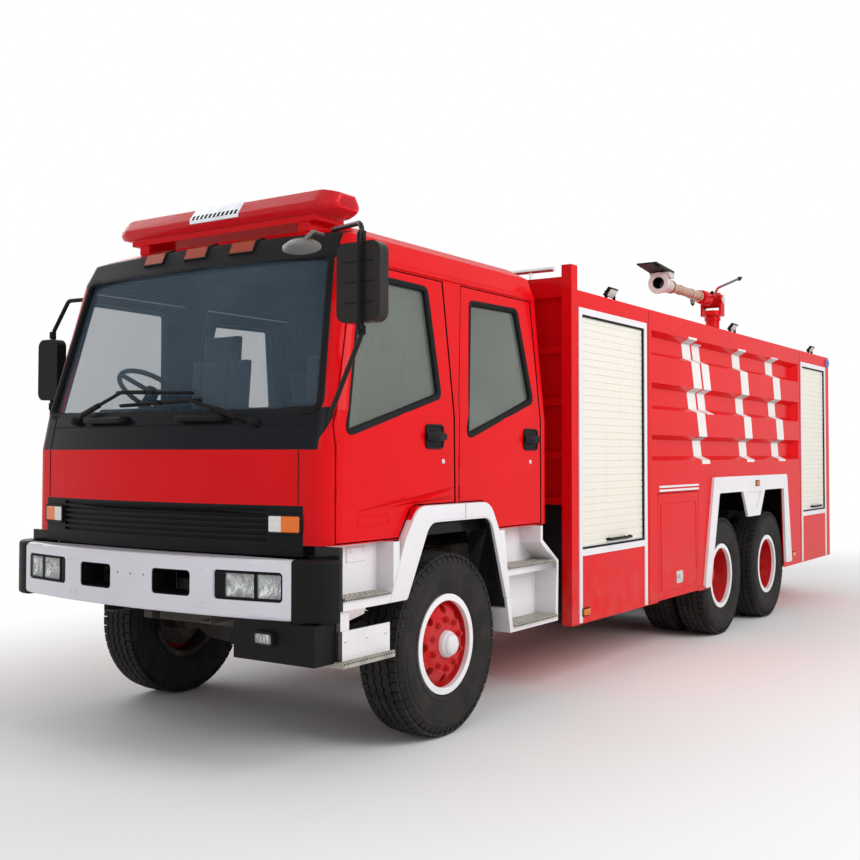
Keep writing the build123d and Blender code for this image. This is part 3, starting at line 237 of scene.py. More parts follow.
@dataclass(frozen=True)
class Paint(Finish):
    """Gloss paint under a clear coat, dusty towards the road."""

    roughness: float = 0.34
    coat: float = 0.16
    dust: float = 0.22
    dust_top: float = 0.95
    shine: float = 0.04

    def base(self, graph: Graph) -> object:
        """Colour before the dust."""
        return graph.mix(self.colour, tuple(0.84 * part for part in self.colour), graph.noise(1.7, 3.0))

    def surface(self, graph: Graph) -> bpy.types.Material:
        """Paint with orange peel, soft colour drift and road dust."""
        low = 1.0 - graph.z.over(self.dust_top / 2 + 0.2, self.dust_top / 2)
        dust = low * graph.noise(7.0, 6.0).over(0.55, 0.25) * self.dust
        fine = graph.noise(60.0, 3.0)
        return graph.shade(
            Base_Color=graph.mix(self.base(graph), ROAD_DUST, dust),
            Roughness=self.roughness + fine * 0.08 + dust * 0.35,
            Coat_Weight=self.coat - dust * self.coat,
            Coat_Roughness=0.06,
            Specular_IOR_Level=self.shine,
            Normal=graph.bump(graph.noise(420.0, 1.0), 0.00015, 0.6),
        )


@dataclass(frozen=True)
class CabPaint(Paint):
    """Cab paint with black round the windscreen, and dark trim on the faces that look into the cab."""

    black: Colour = (0.010, 0.010, 0.012)
    trim: Colour = (0.016, 0.018, 0.022)
    middle_x: float = -0.10
    middle_z: float = 1.95

    def _outward(self, graph: Graph) -> Value:
        """Positive on the cab's outer faces, negative on its inner ones."""
        parts = graph.node("ShaderNodeSeparateXYZ", {}, {0: graph.normal})
        along, across, up = (Value(graph, out) for out in parts.outputs)
        ahead = (graph.x - (FRONT_AXLE + self.middle_x)) ** 5.0 * 0.7
        return along * ahead + across * graph.y + up * (graph.z - self.middle_z)

    def base(self, graph: Graph) -> object:
        """Red, black at the cowl's corners, over the windscreen and behind the grille, trim inside."""
        red = super().base(graph)
        ahead = graph.x - FRONT_AXLE
        rise = (1.075 - ahead) * 1.9
        above = (graph.z - rise).over(1.62)
        corners = above * (1.0 - graph.z.over(1.835)) * ahead.over(0.985)
        brow = graph.z.over(2.626) * ahead.over(0.775)
        arch = (1.0 - graph.z.over(1.236)) * (1.0 - abs(graph.y).over(1.12)) * (1.0 - abs(ahead).over(0.62))
        behind = ahead.over(0.950) * (1.0 - graph.z.over(1.345)) * (1.0 - abs(graph.y).over(0.985))
        outside = graph.mix(red, self.black, corners + brow + arch + behind)
        return graph.mix(self.trim, outside, self._outward(graph).over(0.06, 0.02))


@dataclass(frozen=True)
class BulkheadPaint(Paint):
    """Body red with a black lower half on the wall behind the cab, a painted shade of the recessed lockers."""

    black: Colour = (0.014, 0.014, 0.016)

    def base(self, graph: Graph) -> object:
        """Red, and black low on the front wall as painted shade."""
        # Painted shade: the lower front wall of the recessed lockers is painted black, where shade falls in the recess.
        wall = (graph.x - FRONT_AXLE).over(-1.4815, 0.0005) * (1.0 - abs(graph.y).over(1.172))
        return graph.mix(super().base(graph), self.black, wall * (1.0 - graph.z.over(1.256)))


@dataclass(frozen=True)
class TankPaint(Paint):
    """Body red, black inside the twin wheels' arches."""

    black: Colour = (0.012, 0.012, 0.013)

    def base(self, graph: Graph) -> object:
        """Red, and black between the arches' ends, below their tops and inside the skin."""
        ahead = graph.x - FRONT_AXLE
        between = ahead.over(-6.310) * (1.0 - ahead.over(-3.850))
        inside = (1.0 - graph.z.over(1.262)) * (1.0 - abs(graph.y).over(1.236))
        return graph.mix(super().base(graph), self.black, between * inside)


@dataclass(frozen=True)
class WheelPaint(Paint):
    """Wheel paint: red disc, white outer lip and a dark painted shade on the inner side, measured from the wheel's
    axle.
    """

    axle_x: float = 0.0
    rim: Colour = (0.84, 0.83, 0.85)
    inboard_painted_shade: Colour = (0.014, 0.014, 0.015)
    rim_from: float = 0.240
    lip_out: float = 1.128
    disc_out: float = 1.050

    def base(self, graph: Graph) -> object:
        """Disc colour inside, rim colour outside, and painted shade on the inboard side."""
        ahead = graph.x - (FRONT_AXLE + self.axle_x)
        above = graph.z - TYRE_RADIUS
        radius = (ahead * ahead + above * above) ** 0.5
        out = abs(graph.y)
        lip = radius.over(self.rim_from, 0.001) * out.over(self.lip_out)
        painted = graph.mix(super().base(graph), self.rim, lip)
        # Painted shade: faces inboard of disc_out are painted dark, where shade falls inside the wheels.
        return graph.mix(self.inboard_painted_shade, painted, out.over(self.disc_out))


@dataclass(frozen=True)
class FenderPaint(Paint):
    """White step and fender paint, black inside the arches and where the bumper's ends hide it, with painted shade on
    the steps' low downward faces.
    """

    black: Colour = (0.012, 0.012, 0.013)

    def base(self, graph: Graph) -> object:
        """White, and black ahead of the step wells, on the faces inside the arches, and as painted shade on downward
        faces below 0.83 m.
        """
        parts = graph.node("ShaderNodeSeparateXYZ", {}, {0: graph.normal})
        up = Value(graph, parts.outputs[2])
        below = 1.0 - up.over(0.1)
        # Painted shade: downward faces low on the steps are painted black, where shade falls under them.
        floor = (1.0 - up.over(-0.5)) * (1.0 - graph.z.over(0.830))
        ahead = graph.x - FRONT_AXLE
        inner = ahead.over(-0.626) * (1.0 - ahead.over(0.470)) * (1.0 - abs(graph.y).over(1.178))
        return graph.mix(super().base(graph), self.black, inner * below + floor + ahead.over(1.000))


@dataclass(frozen=True)
class Plastic(Finish):
    """Moulded plastic with a fine grain, scuffed paler in places."""

    roughness: float = 0.52
    grain: float = 0.0003
    scuff: float = 0.25
    glare: float = 0.10

    def surface(self, graph: Graph) -> bpy.types.Material:
        """Grained moulding."""
        worn = graph.noise(5.0, 5.0).over(0.62, 0.14) * self.scuff
        pale = tuple(part * 1.6 + 0.008 for part in self.colour)
        return graph.shade(
            Base_Color=graph.mix(self.colour, pale, worn),
            Roughness=self.roughness + worn * 0.15,
            Specular_IOR_Level=self.glare,
            Normal=graph.bump(graph.cells(900.0), self.grain),
        )


@dataclass(frozen=True)
class TyreRubber(Finish):
    """Tyre rubber, dusted brown in the grooves and on the walls."""

    def surface(self, graph: Graph) -> bpy.types.Material:
        """Matt rubber with dust in soft patches and a fine mould texture."""
        patches = graph.noise(9.0, 6.0).over(0.5, 0.3)
        dusty = graph.mix(self.colour, (0.050, 0.044, 0.038), patches * 0.6)
        return graph.shade(
            Base_Color=dusty,
            Roughness=0.70 + patches * 0.16,
            Specular_IOR_Level=0.18,
            Normal=graph.bump(graph.noise(260.0, 4.0), 0.0012, 0.5),
        )


@dataclass(frozen=True)
class Metal(Finish):
    """Bare or plated metal with brushing along an axis and dull spots."""

    roughness: float = 0.3
    brushing: Sequence[float] = (1.0, 12.0, 12.0)
    spots: float = 0.3

    def surface(self, graph: Graph) -> bpy.types.Material:
        """Brushed metal."""
        lines = graph.noise(55.0, 3.0, self.brushing)
        dull = graph.noise(11.0, 5.0).over(0.58, 0.16) * self.spots
        return graph.shade(
            Base_Color=graph.mix(self.colour, tuple(0.55 * part for part in self.colour), dull),
            Metallic=1.0 - dull * 0.4,
            Roughness=self.roughness + lines * 0.14 + dull * 0.3,
            Normal=graph.bump(lines, 0.0002, 0.5),
        )


@dataclass(frozen=True)
class Facets(Finish):
    """Lamp reflector pressed in upright facets, each given a painted glint: its colour is set from dark to bright as if
    it caught the light in turn.
    """

    pitch: float = 95.0

    def surface(self, graph: Graph) -> bpy.types.Material:
        """Bright plating, each facet tilted its own way and painted dark to bright as a glint."""
        moved = graph.node("ShaderNodeMapping", {}, {"Vector": graph.point, "Scale": (0.2, 1.0, 0.35)})
        spots = graph.node("ShaderNodeTexVoronoi", {"feature": "F1"}, {"Vector": moved.outputs[0], "Scale": self.pitch})
        height = Value(graph, spots.outputs[0])
        # Painted glint: the cells' random colour sets each facet from dark to bright, standing for the light each one
        # catches.
        shade = Value(graph, spots.outputs[1])
        return graph.shade(
            Base_Color=graph.mix(tuple(0.12 * part for part in self.colour), self.colour, shade),
            Metallic=0.9,
            Roughness=0.10 + height * 0.15,
            Normal=graph.bump(height, 0.006),
        )


@dataclass(frozen=True)
class Casting(Finish):
    """Rough iron under chassis paint, rusty and dusty in places."""

    rust: float = 0.35

    def surface(self, graph: Graph) -> bpy.types.Material:
        """Cast or forged iron."""
        rusty = graph.noise(8.0, 7.0).over(0.6, 0.12) * self.rust
        grit = graph.noise(130.0, 4.0)
        dusty = graph.mix(self.colour, ROAD_DUST, graph.noise(4.0, 5.0).over(0.6, 0.3) * 0.22)
        return graph.shade(
            Base_Color=graph.mix(dusty, (0.12, 0.05, 0.025), rusty),
            Roughness=0.62 + grit * 0.2,
            Normal=graph.bump(grit, 0.0012),
        )


@dataclass(frozen=True)
class Glass(Finish):
    """Tinted pane that lets part of the light through."""

    alpha: float = 0.4
    glare: float = 0.35
    film: float = 0.0

    def surface(self, graph: Graph) -> bpy.types.Material:
        """Tinted glass with a trace of dust in soft patches."""
        dust = graph.noise(3.0, 4.0)
        return graph.shade(
            Base_Color=graph.mix(self.colour, tuple(1.5 * part + 0.01 for part in self.colour), dust),
            Roughness=0.02 + dust * 0.03,
            Alpha=self.alpha + dust * 0.06,
            Specular_IOR_Level=self.glare,
            Coat_Weight=self.film,
        )


@dataclass(frozen=True)
class Lens(Finish):
    """Coloured lamp lens, fluted inside."""

    alpha: float = 0.9
    flutes: float = 160.0
    glow: float = 0.0
    gloss: float = 0.4

    def surface(self, graph: Graph) -> bpy.types.Material:
        """Gloss lens with upright flutes."""
        ripple = graph.node(
            "ShaderNodeTexWave",
            {"wave_type": "BANDS", "bands_direction": "Y"},
            {"Vector": graph.point, "Scale": self.flutes, "Distortion": 0.0},
        )
        wave = Value(graph, ripple.outputs[1])
        deep = tuple(0.6 * part for part in self.colour)
        return graph.shade(
            Base_Color=graph.mix(deep, self.colour, wave),
            Roughness=0.12 + wave * 0.06,
            Alpha=self.alpha,
            Coat_Weight=self.gloss,
            Coat_Roughness=0.04,
            Specular_IOR_Level=0.06,
            Emission_Color=self.colour,
            Emission_Strength=self.glow,
            Normal=graph.bump(wave, 0.0006),
        )


@dataclass(frozen=True)
class TurnLens(Lens):
    """Turn lamp: clear towards the middle of the truck, amber outside."""

    clear: Colour = (0.72, 0.70, 0.66)
    split_y: float = 0.885

    def surface(self, graph: Graph) -> bpy.types.Material:
        """Two-colour lens, split by distance from the middle of the truck."""
        outside = abs(graph.y).over(self.split_y, 0.001)
        low = 1.0 - graph.z.over(2.0)
        clear = low * (1.0 - outside)
        speckle = graph.cells(180.0)
        return graph.shade(
            Base_Color=graph.mix(self.colour, self.clear, clear),
            Roughness=0.10 + speckle * 0.1,
            Coat_Weight=self.gloss,
            Specular_IOR_Level=0.2,
            Emission_Color=graph.mix(self.colour, self.clear, clear),
            Emission_Strength=self.glow,
            Normal=graph.bump(speckle, 0.003),
        )


@dataclass(frozen=True)
class Cloth(Finish):
    """Woven seat cover."""

    thread: float = 420.0

    def surface(self, graph: Graph) -> bpy.types.Material:
        """Weave of two crossing waves with worn patches."""
        waves = []
        for direction in ("X", "Z"):
            wave = graph.node(
                "ShaderNodeTexWave",
                {"wave_type": "BANDS", "bands_direction": direction},
                {"Vector": graph.point, "Scale": self.thread},
            )
            waves.append(Value(graph, wave.outputs[1]))
        weave = waves[0] * waves[1]
        worn = graph.noise(6.0, 4.0)
        return graph.shade(
            Base_Color=graph.mix(self.colour, tuple(1.8 * part + 0.01 for part in self.colour), weave * worn),
            Roughness=0.86,
            Sheen_Weight=0.3,
            Normal=graph.bump(weave, 0.0007),
        )


@dataclass(frozen=True)
class SlatPaint(Finish):
    """Coated aluminium slats with faint upright rain streaks."""

    def surface(self, graph: Graph) -> bpy.types.Material:
        """Cream coating, a little darker where water has run down."""
        streak = graph.noise(4.0, 2.0, (3.0, 3.0, 0.25)).over(0.6, 0.2)
        return graph.shade(
            Base_Color=graph.mix(self.colour, tuple(0.90 * part for part in self.colour), streak * 0.3),
            Metallic=0.15,
            Roughness=0.42 + streak * 0.15,
            Normal=graph.bump(graph.noise(300.0, 2.0), 0.0002),
        )


@dataclass(frozen=True)
class MonitorPaint(Paint):
    """Water monitor: red valve body, pale barrel, black nozzle, along the barrel at rest."""

    barrel: Colour = (0.50, 0.37, 0.29)
    nozzle: Colour = (0.66, 0.64, 0.62)
    handle: Colour = (0.16, 0.16, 0.17)
    blade: Colour = (0.012, 0.012, 0.013)
    barrel_from: float = -7.15
    nozzle_from: float = -6.27

    def base(self, graph: Graph) -> object:
        """Colour by place along the barrel."""
        ahead = graph.x - FRONT_AXLE
        body = graph.mix(super().base(graph), self.barrel, ahead.over(self.barrel_from))
        pale = graph.mix(body, self.nozzle, ahead.over(self.nozzle_from))
        handle = (1.0 - ahead.over(-7.66)) * graph.z.over(3.535)
        gripped = graph.mix(pale, self.handle, handle)
        blade = ahead.over(-6.135) * graph.z.over(3.556)
        return graph.mix(gripped, self.blade, blade)


RED: Colour = (0.76, 0.003, 0.007)
WHITE: Colour = (0.80, 0.79, 0.86)
BODY_RED = Paint("body_red_paint", "red_paint", RED)
TANK_RED = TankPaint("tank_red_paint", "red_paint", RED)
CAB_RED = CabPaint("cab_red_paint", "red_paint", RED)
# Red paint with a painted shade low on the lockers' front wall.
PAINTED_SHADE_RED = BulkheadPaint("bulkhead_red_painted_shade", "red_paint", RED)
BUMPER_WHITE = Paint("bumper_white_paint", "white_paint", WHITE, roughness=0.32, coat=0.5, dust=0.2)
STEP_WHITE = Paint("step_white_paint", "white_paint", (0.84, 0.82, 0.85), roughness=0.38, coat=0.4, dust=0.35)
FENDER_WHITE = FenderPaint("fender_white_paint", "white_paint", (0.84, 0.82, 0.85), roughness=0.38, coat=0.4)
STRIPE_WHITE = Paint("stripe_white_film", "white_paint", (0.86, 0.84, 0.82), roughness=0.42, coat=0.2)
SHUTTER_CREAM = SlatPaint("shutter_cream", "shutter", (0.80, 0.77, 0.68))
BLACK_MOULDING = Plastic("black_moulding", "black_plastic", (0.008, 0.008, 0.009), roughness=0.45)
GLOSS_BLACK = Plastic("cowl_black", "black_plastic", (0.008, 0.009, 0.012), roughness=0.18, grain=0.00003, scuff=0.1)
SEAL_RUBBER = Plastic("seal_rubber", "black_plastic", (0.010, 0.010, 0.011), roughness=0.62, scuff=0.2)
TRIM_GREY = Plastic("cab_trim_grey", "black_plastic", (0.055, 0.058, 0.065), roughness=0.7)
TYRE_BLACK = TyreRubber("tyre_rubber", "tyre", (0.010, 0.010, 0.011))
CHASSIS_IRON = Casting("chassis_iron", "chassis_black", (0.012, 0.012, 0.013), rust=0.1)
RAW_CASTING = Casting("rough_casting", "cast", (0.020, 0.020, 0.020))
TREAD_METAL = Metal("tread_plate_metal", "tread_plate", (0.47, 0.45, 0.40), roughness=0.5, spots=0.6)
BRUSHED = Metal("brushed_tube", "trim_metal", (0.66, 0.66, 0.66), roughness=0.28)
GLINT_PAINTED_REFLECTOR = Facets("lamp_reflector", "trim_metal", (0.86, 0.87, 0.88))
CHROME = Metal("bright_plating", "trim_metal", (0.82, 0.82, 0.83), roughness=0.08, spots=0.1)
WINDSCREEN_GLASS = Glass("windscreen_tint", "glass", (0.095, 0.160, 0.225), alpha=0.16)
SIDE_GLASS = Glass("side_window_tint", "glass", (0.190, 0.215, 0.185), alpha=0.27, glare=1.0, film=0.6)
LAMP_GLASS = Glass("lamp_cover_glass", "lamp_glass", (0.75, 0.78, 0.80), alpha=0.12)
TURN_LENS = TurnLens("turn_lamp_lens", "amber", (0.80, 0.16, 0.008), glow=0.12)
MARKER_LENS = Lens("visor_marker_lens", "amber", (0.50, 0.065, 0.018), flutes=45.0, glow=0.05)
AMBER_LENS = Lens("side_marker_lens", "amber", (0.85, 0.22, 0.01), glow=0.1)
RED_LENS = Lens("rear_lamp_lens", "red_lens", (0.60, 0.008, 0.012), glow=0.08)
BEACON_LENS = Lens("beacon_lens", "red_lens", (0.74, 0.003, 0.010), alpha=0.92, flutes=60.0, glow=0.06, gloss=0.2)
SPEAKER_SILVER = Metal("speaker_silver", "trim_metal", (0.74, 0.76, 0.80), roughness=0.25)
BLUE_LENS = Lens("small_blue_lens", "lamp_glass", (0.22, 0.26, 0.60), glow=0.05)
MIRROR_GLASS = Metal("mirror_silver", "trim_metal", (0.80, 0.83, 0.86), roughness=0.02, spots=0.0)
MIRROR_GREY = Plastic("mirror_grey", "black_plastic", (0.090, 0.085, 0.080), roughness=0.25, glare=0.4)
MIRROR_BROWN = Plastic("mirror_back_brown", "black_plastic", (0.012, 0.009, 0.007), roughness=0.22, glare=0.2)
BULB_GLASS = Finish("bulb_glass", "lamp_glass", (0.90, 0.88, 0.80))
PALE_LENS = Lens("pale_lamp_lens", "lamp_glass", (0.80, 0.80, 0.76), flutes=90.0, glow=0.05)
COPPER = Metal("barrel_band_copper", "trim_metal", (0.72, 0.42, 0.30), roughness=0.30)
SEAT_CLOTH = Cloth("seat_weave", "seat", (0.030, 0.031, 0.036))
MONITOR_RED = MonitorPaint("monitor_finish", "red_paint", (0.60, 0.012, 0.012), dust=0.0)
TWIN_DEPTHS = {"lip_out": 1.178, "disc_out": 0.925}
WHEEL_RED: Colour = (0.60, 0.006, 0.012)
WHEEL_REDS = {
    "front": WheelPaint("wheel_paint_front", "red_paint", WHEEL_RED),
    "middle": WheelPaint("wheel_paint_middle", "red_paint", WHEEL_RED, axle_x=AXLE_X["middle"], **TWIN_DEPTHS),
    "rear": WheelPaint("wheel_paint_rear", "red_paint", WHEEL_RED, axle_x=AXLE_X["rear"], **TWIN_DEPTHS),
}


def vec(points: Iterable[Sequence[float]]) -> list[Vector]:
    """Points as vectors."""
    return [Vector(point) for point in points]


def rounded(points: Sequence[Vector], radius: float, closed: bool = False, steps: int = 6) -> list[Vector]:
    """A line of straight runs with its corners turned into arcs.

    Args:
        points: The corners.
        radius: Bend radius, made smaller where a run is too short for it.
        closed: Whether the line returns to its start.
        steps: Runs along each bend.

    Returns:
        Points along the rounded line.
    """
    count = len(points)
    line: list[Vector] = []
    for index, corner in enumerate(points):
        if not closed and index in (0, count - 1):
            line.append(corner.copy())
            continue
        back, ahead = points[index - 1] - corner, points[(index + 1) % count] - corner
        angle = back.angle(ahead)
        reach = min(radius / math.tan(angle / 2), 0.45 * back.length, 0.45 * ahead.length)
        start, end = corner + back.normalized() * reach, corner + ahead.normalized() * reach
        for step in range(steps + 1):
            t = step / steps
            line.append(start * (1 - t) ** 2 + corner * 2 * t * (1 - t) + end * t**2)
    return line


class Shape:
    """A mesh under construction, in the front axle's frame."""

    def __init__(self) -> None:
        """Start empty."""
        self.mesh = bmesh.new()

    def _bevel(self, faces: Iterable[bmesh.types.BMFace], width: float, steps: int = 2) -> None:
        """Round the sharp edges of some faces."""
        edges = list({edge for face in faces for edge in face.edges if edge.calc_face_angle(0.0) > 0.6})
        bmesh.ops.bevel(
            self.mesh, geom=edges, offset=width, segments=steps, profile=0.6, affect="EDGES", clamp_overlap=True
        )

    def prism(self, outline: Sequence[Vector], run: Vector, bevel: float = 0.0) -> "Shape":
        """Flat outline pushed along a run.

        Args:
            outline: Corners of the flat outline.
            run: Direction and length.
            bevel: Width of the rounded edges.

        Returns:
            This shape.
        """
        near = [self.mesh.verts.new(point) for point in outline]
        far = [self.mesh.verts.new(point + run) for point in outline]
        count = len(near)
        faces = [self.mesh.faces.new(near), self.mesh.faces.new(far[::-1])]
        for index in range(count):
            after = (index + 1) % count
            faces.append(self.mesh.faces.new((near[index], far[index], far[after], near[after])))
        bmesh.ops.recalc_face_normals(self.mesh, faces=faces)
        if bevel:
            self._bevel(faces, bevel)
        return self

    def box(self, low: Sequence[float], high: Sequence[float], bevel: float = 0.004) -> "Shape":
        """Box between two corners with rounded edges."""
        (x0, y0, z0), (x1, y1, z1) = low, high
        outline = vec(((x0, y0, z0), (x1, y0, z0), (x1, y1, z0), (x0, y1, z0)))
        return self.prism(outline, Vector((0, 0, z1 - z0)), bevel)

    def grid(self, rows: Sequence[Sequence[Vector]], around: bool = False, caps: bool = False) -> "Shape":
        """Surface through rows of points.

        Args:
            rows: Rows of equal length.
            around: Whether each row closes on itself.
            caps: Whether the first and last rows are filled.

        Returns:
            This shape.
        """
        verts = [[self.mesh.verts.new(point) for point in row] for row in rows]
        width = len(verts[0])
        faces = []
        for low, high in zip(verts, verts[1:]):
            for index in range(width if around else width - 1):
                after = (index + 1) % width
                faces.append(self.mesh.faces.new((low[index], low[after], high[after], high[index])))
        if caps:
            faces.append(self.mesh.faces.new(verts[0][::-1]))
            faces.append(self.mesh.faces.new(verts[-1]))
        bmesh.ops.recalc_face_normals(self.mesh, faces=faces)
        return self

    def slab(self, rows: Sequence[Sequence[Vector]], lift: Vector, around: bool = False) -> "Shape":
        """Surface through rows of points, given a thickness along lift."""
        loops = [[*row, *[point + lift for point in reversed(row)]] for row in rows]
        if around:
            return self.grid([*loops, loops[0]], around=True)
        return self.grid(loops, around=True, caps=True)

    def tube(self, line: Sequence[Vector], radius: float, sides: int = 12, closed: bool = False) -> "Shape":
        """Round bar along a line.

        Args:
            line: Points along its middle.
            radius: Bar's radius.
            sides: Faces around it.
            closed: Whether the bar is a ring.

        Returns:
            This shape.
        """
        count = len(line)
        side = None
        rows = []
        for index, point in enumerate(line):
            before = line[index - 1] if index or closed else point
            after = line[(index + 1) % count] if index < count - 1 or closed else point
            along = (after - before).normalized()
            if side is None:
                side = along.orthogonal()
            side = (side - along * side.dot(along)).normalized()
            other = along.cross(side)
            angles = [2 * math.pi * step / sides for step in range(sides)]
            rows.append([point + radius * (math.cos(a) * side + math.sin(a) * other) for a in angles])
        return self.grid([*rows, rows[0]] if closed else rows, around=True, caps=not closed)

    def lathe(
        self,
        profile: Sequence[tuple[float, float]],
        middle: Vector,
        axis: Vector,
        steps: int = 32,
        ring: bool = False,
    ) -> "Shape":
        """Profile of (distance along, radius) points turned about an axis.

        Args:
            profile: The points.
            middle: Point on the axis.
            axis: Direction of the axis.
            steps: Faces around it.
            ring: Whether the profile closes on itself; else its two ends are filled.

        Returns:
            This shape.
        """
        axis = axis.normalized()
        side = axis.orthogonal().normalized()
        other = axis.cross(side)
        rows = []
        for along, radius in profile:
            angles = [2 * math.pi * step / steps for step in range(steps)]
            rows.append(
                [middle + axis * along + radius * (math.cos(a) * side + math.sin(a) * other) for a in angles]
            )
        return self.grid([*rows, rows[0]] if ring else rows, around=True, caps=not ring)

    def mirrored(self) -> "Shape":
        """Add the same shape on the other side of the truck."""
        copy = bmesh.ops.duplicate(self.mesh, geom=[*self.mesh.verts, *self.mesh.edges, *self.mesh.faces])
        verts = [item for item in copy["geom"] if isinstance(item, bmesh.types.BMVert)]
        faces = [item for item in copy["geom"] if isinstance(item, bmesh.types.BMFace)]
        for vert in verts:
            vert.co.y = -vert.co.y
        bmesh.ops.reverse_faces(self.mesh, faces=faces)
        return self

    def sided(self, way: float) -> "Shape":
        """Bring a shape made for the left side to the side given: 1 for left, -1 for right."""
        if way < 0:
            self.mesh.transform(Matrix.Diagonal((1.0, -1.0, 1.0, 1.0)))
            bmesh.ops.reverse_faces(self.mesh, faces=self.mesh.faces)
        return self

    def add(self, other: "Shape") -> "Shape":
        """Take in another shape's mesh."""
        data = bpy.data.meshes.new("joined")
        other.mesh.to_mesh(data)
        other.mesh.free()
        self.mesh.from_mesh(data)
        bpy.data.meshes.remove(data)
        return self

    def piece(self, name: str, body: str, finish: Finish, *nodes: str) -> bpy.types.Object:
        """Turn the shape into a piece of the truck.

        Args:
            name: The piece's name.
            body: Body that it rides on.
            finish: Its finish.
            nodes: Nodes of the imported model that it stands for.

        Returns:
            The new object.
        """
        bmesh.ops.remove_doubles(self.mesh, verts=self.mesh.verts, dist=1e-6)
        self.mesh.transform(Matrix.Translation((FRONT_AXLE, 0, 0)))
        data = bpy.data.meshes.new(name)
        self.mesh.to_mesh(data)
        self.mesh.free()
        return settle(name, data, body, finish, nodes)


def settle(
    name: str, data: bpy.types.Mesh, body: str, finish: Finish, nodes: Sequence[str] = ()
) -> bpy.types.Object:
    """Give a mesh its finish and its body.

    Args:
        name: The piece's name.
        data: Its mesh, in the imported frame.
        body: Body that it rides on.
        finish: Its finish.
        nodes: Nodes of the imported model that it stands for.

    Returns:
        The new object.
    """
    data.materials.clear()
    data.materials.append(finish.material())
    data.shade_smooth()
    data.set_sharp_from_angle(angle=SMOOTH_ANGLE)
    piece = bpy.data.objects.new(name, data)
    bpy.context.scene.collection.objects.link(piece)
    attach(piece, body)
    if nodes:
        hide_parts(*nodes)
    LOG.info("%s on %s: %d faces", name, body, len(data.polygons))
    return piece


class Head(Enum):
    """Shapes that are repeated by the scatter tree."""

    HEX = "hexagon bolt head"
    ROUND = "round plug"
    DOME = "domed rivet"
    BLOCK = "block"


class Scatter:
    """Geometry Nodes tree that sets one small shape on many points, each with its own facing."""

    def __init__(self, head: Head, finish: Finish) -> None:
        """Build the tree for one shape and finish."""
        self.head = head
        self.tree = bpy.data.node_groups.new("scatter_" + head.name.lower() + "_" + finish.name, "GeometryNodeTree")
        face = self.tree.interface
        face.new_socket("Geometry", in_out="INPUT", socket_type="NodeSocketGeometry")
        self.sizes = {
            label: face.new_socket(label, in_out="INPUT", socket_type="NodeSocketFloat").identifier
            for label in ("Length", "Width", "Height")
        }
        face.new_socket("Geometry", in_out="OUTPUT", socket_type="NodeSocketGeometry")
        enter = self._add("NodeGroupInput")
        leave = self._add("NodeGroupOutput")
        shape = self._shape()
        size = self._add("ShaderNodeCombineXYZ")
        for index, label in enumerate(("Length", "Width", "Height")):
            self._link(enter.outputs[label], size.inputs[index])
        sized = self._add("GeometryNodeTransform")
        self._link(shape, sized.inputs["Geometry"])
        self._link(size.outputs[0], sized.inputs["Scale"])
        facing = self._add("FunctionNodeAxesToRotation", primary_axis="Z", secondary_axis="X")
        self._link(self._named("aim"), facing.inputs[0])
        self._link(self._named("side"), facing.inputs[1])
        spread = self._add("GeometryNodeInstanceOnPoints")
        self._link(enter.outputs["Geometry"], spread.inputs["Points"])
        self._link(sized.outputs[0], spread.inputs["Instance"])
        self._link(facing.outputs[0], spread.inputs["Rotation"])
        real = self._add("GeometryNodeRealizeInstances")
        self._link(spread.outputs[0], real.inputs[0])
        paint = self._add("GeometryNodeSetMaterial")
        paint.inputs["Material"].default_value = finish.material()
        self._link(real.outputs[0], paint.inputs["Geometry"])
        self._link(paint.outputs[0], leave.inputs[0])

    def _add(self, kind: str, **settings: object) -> bpy.types.Node:
        """Add a node with its settings."""
        node = self.tree.nodes.new(kind)
        for key, value in settings.items():
            setattr(node, key, value)
        return node

    def _link(self, out: bpy.types.NodeSocket, into: bpy.types.NodeSocket) -> None:
        """Join two sockets."""
        self.tree.links.new(out, into)

    def _named(self, label: str) -> bpy.types.NodeSocket:
        """A vector stored on the points."""
        node = self._add("GeometryNodeInputNamedAttribute", data_type="FLOAT_VECTOR")
        node.inputs["Name"].default_value = label
        return node.outputs["Attribute"]

    def _shape(self) -> bpy.types.NodeSocket:
        """The unit shape, standing on its point along Z."""
        if self.head is Head.BLOCK:
            solid = self._add("GeometryNodeMeshCube")
        elif self.head is Head.DOME:
            solid = self._add("GeometryNodeMeshUVSphere")
            solid.inputs["Segments"].default_value = 12
            solid.inputs["Rings"].default_value = 7
            solid.inputs["Radius"].default_value = 0.5
            return solid.outputs[0]
        else:
            solid = self._add("GeometryNodeMeshCone")
            solid.inputs["Vertices"].default_value = 6 if self.head is Head.HEX else 16
            solid.inputs["Radius Top"].default_value = 0.44
            solid.inputs["Radius Bottom"].default_value = 0.5
            solid.inputs["Depth"].default_value = 1.0
            return solid.outputs[0]
        raised = self._add("GeometryNodeTransform")
        raised.inputs["Translation"].default_value = (0.0, 0.0, 0.5)
        self._link(solid.outputs[0], raised.inputs["Geometry"])
        return raised.outputs[0]


@dataclass(frozen=True)
class Spot:
    """A point where a small shape stands: its place, its facing and its own X direction."""

    place: Vector
    aim: Vector
    side: Vector = Vector((1.0, 0.0, 0.0))


SCATTERS: dict[tuple[Head, str], Scatter] = {}


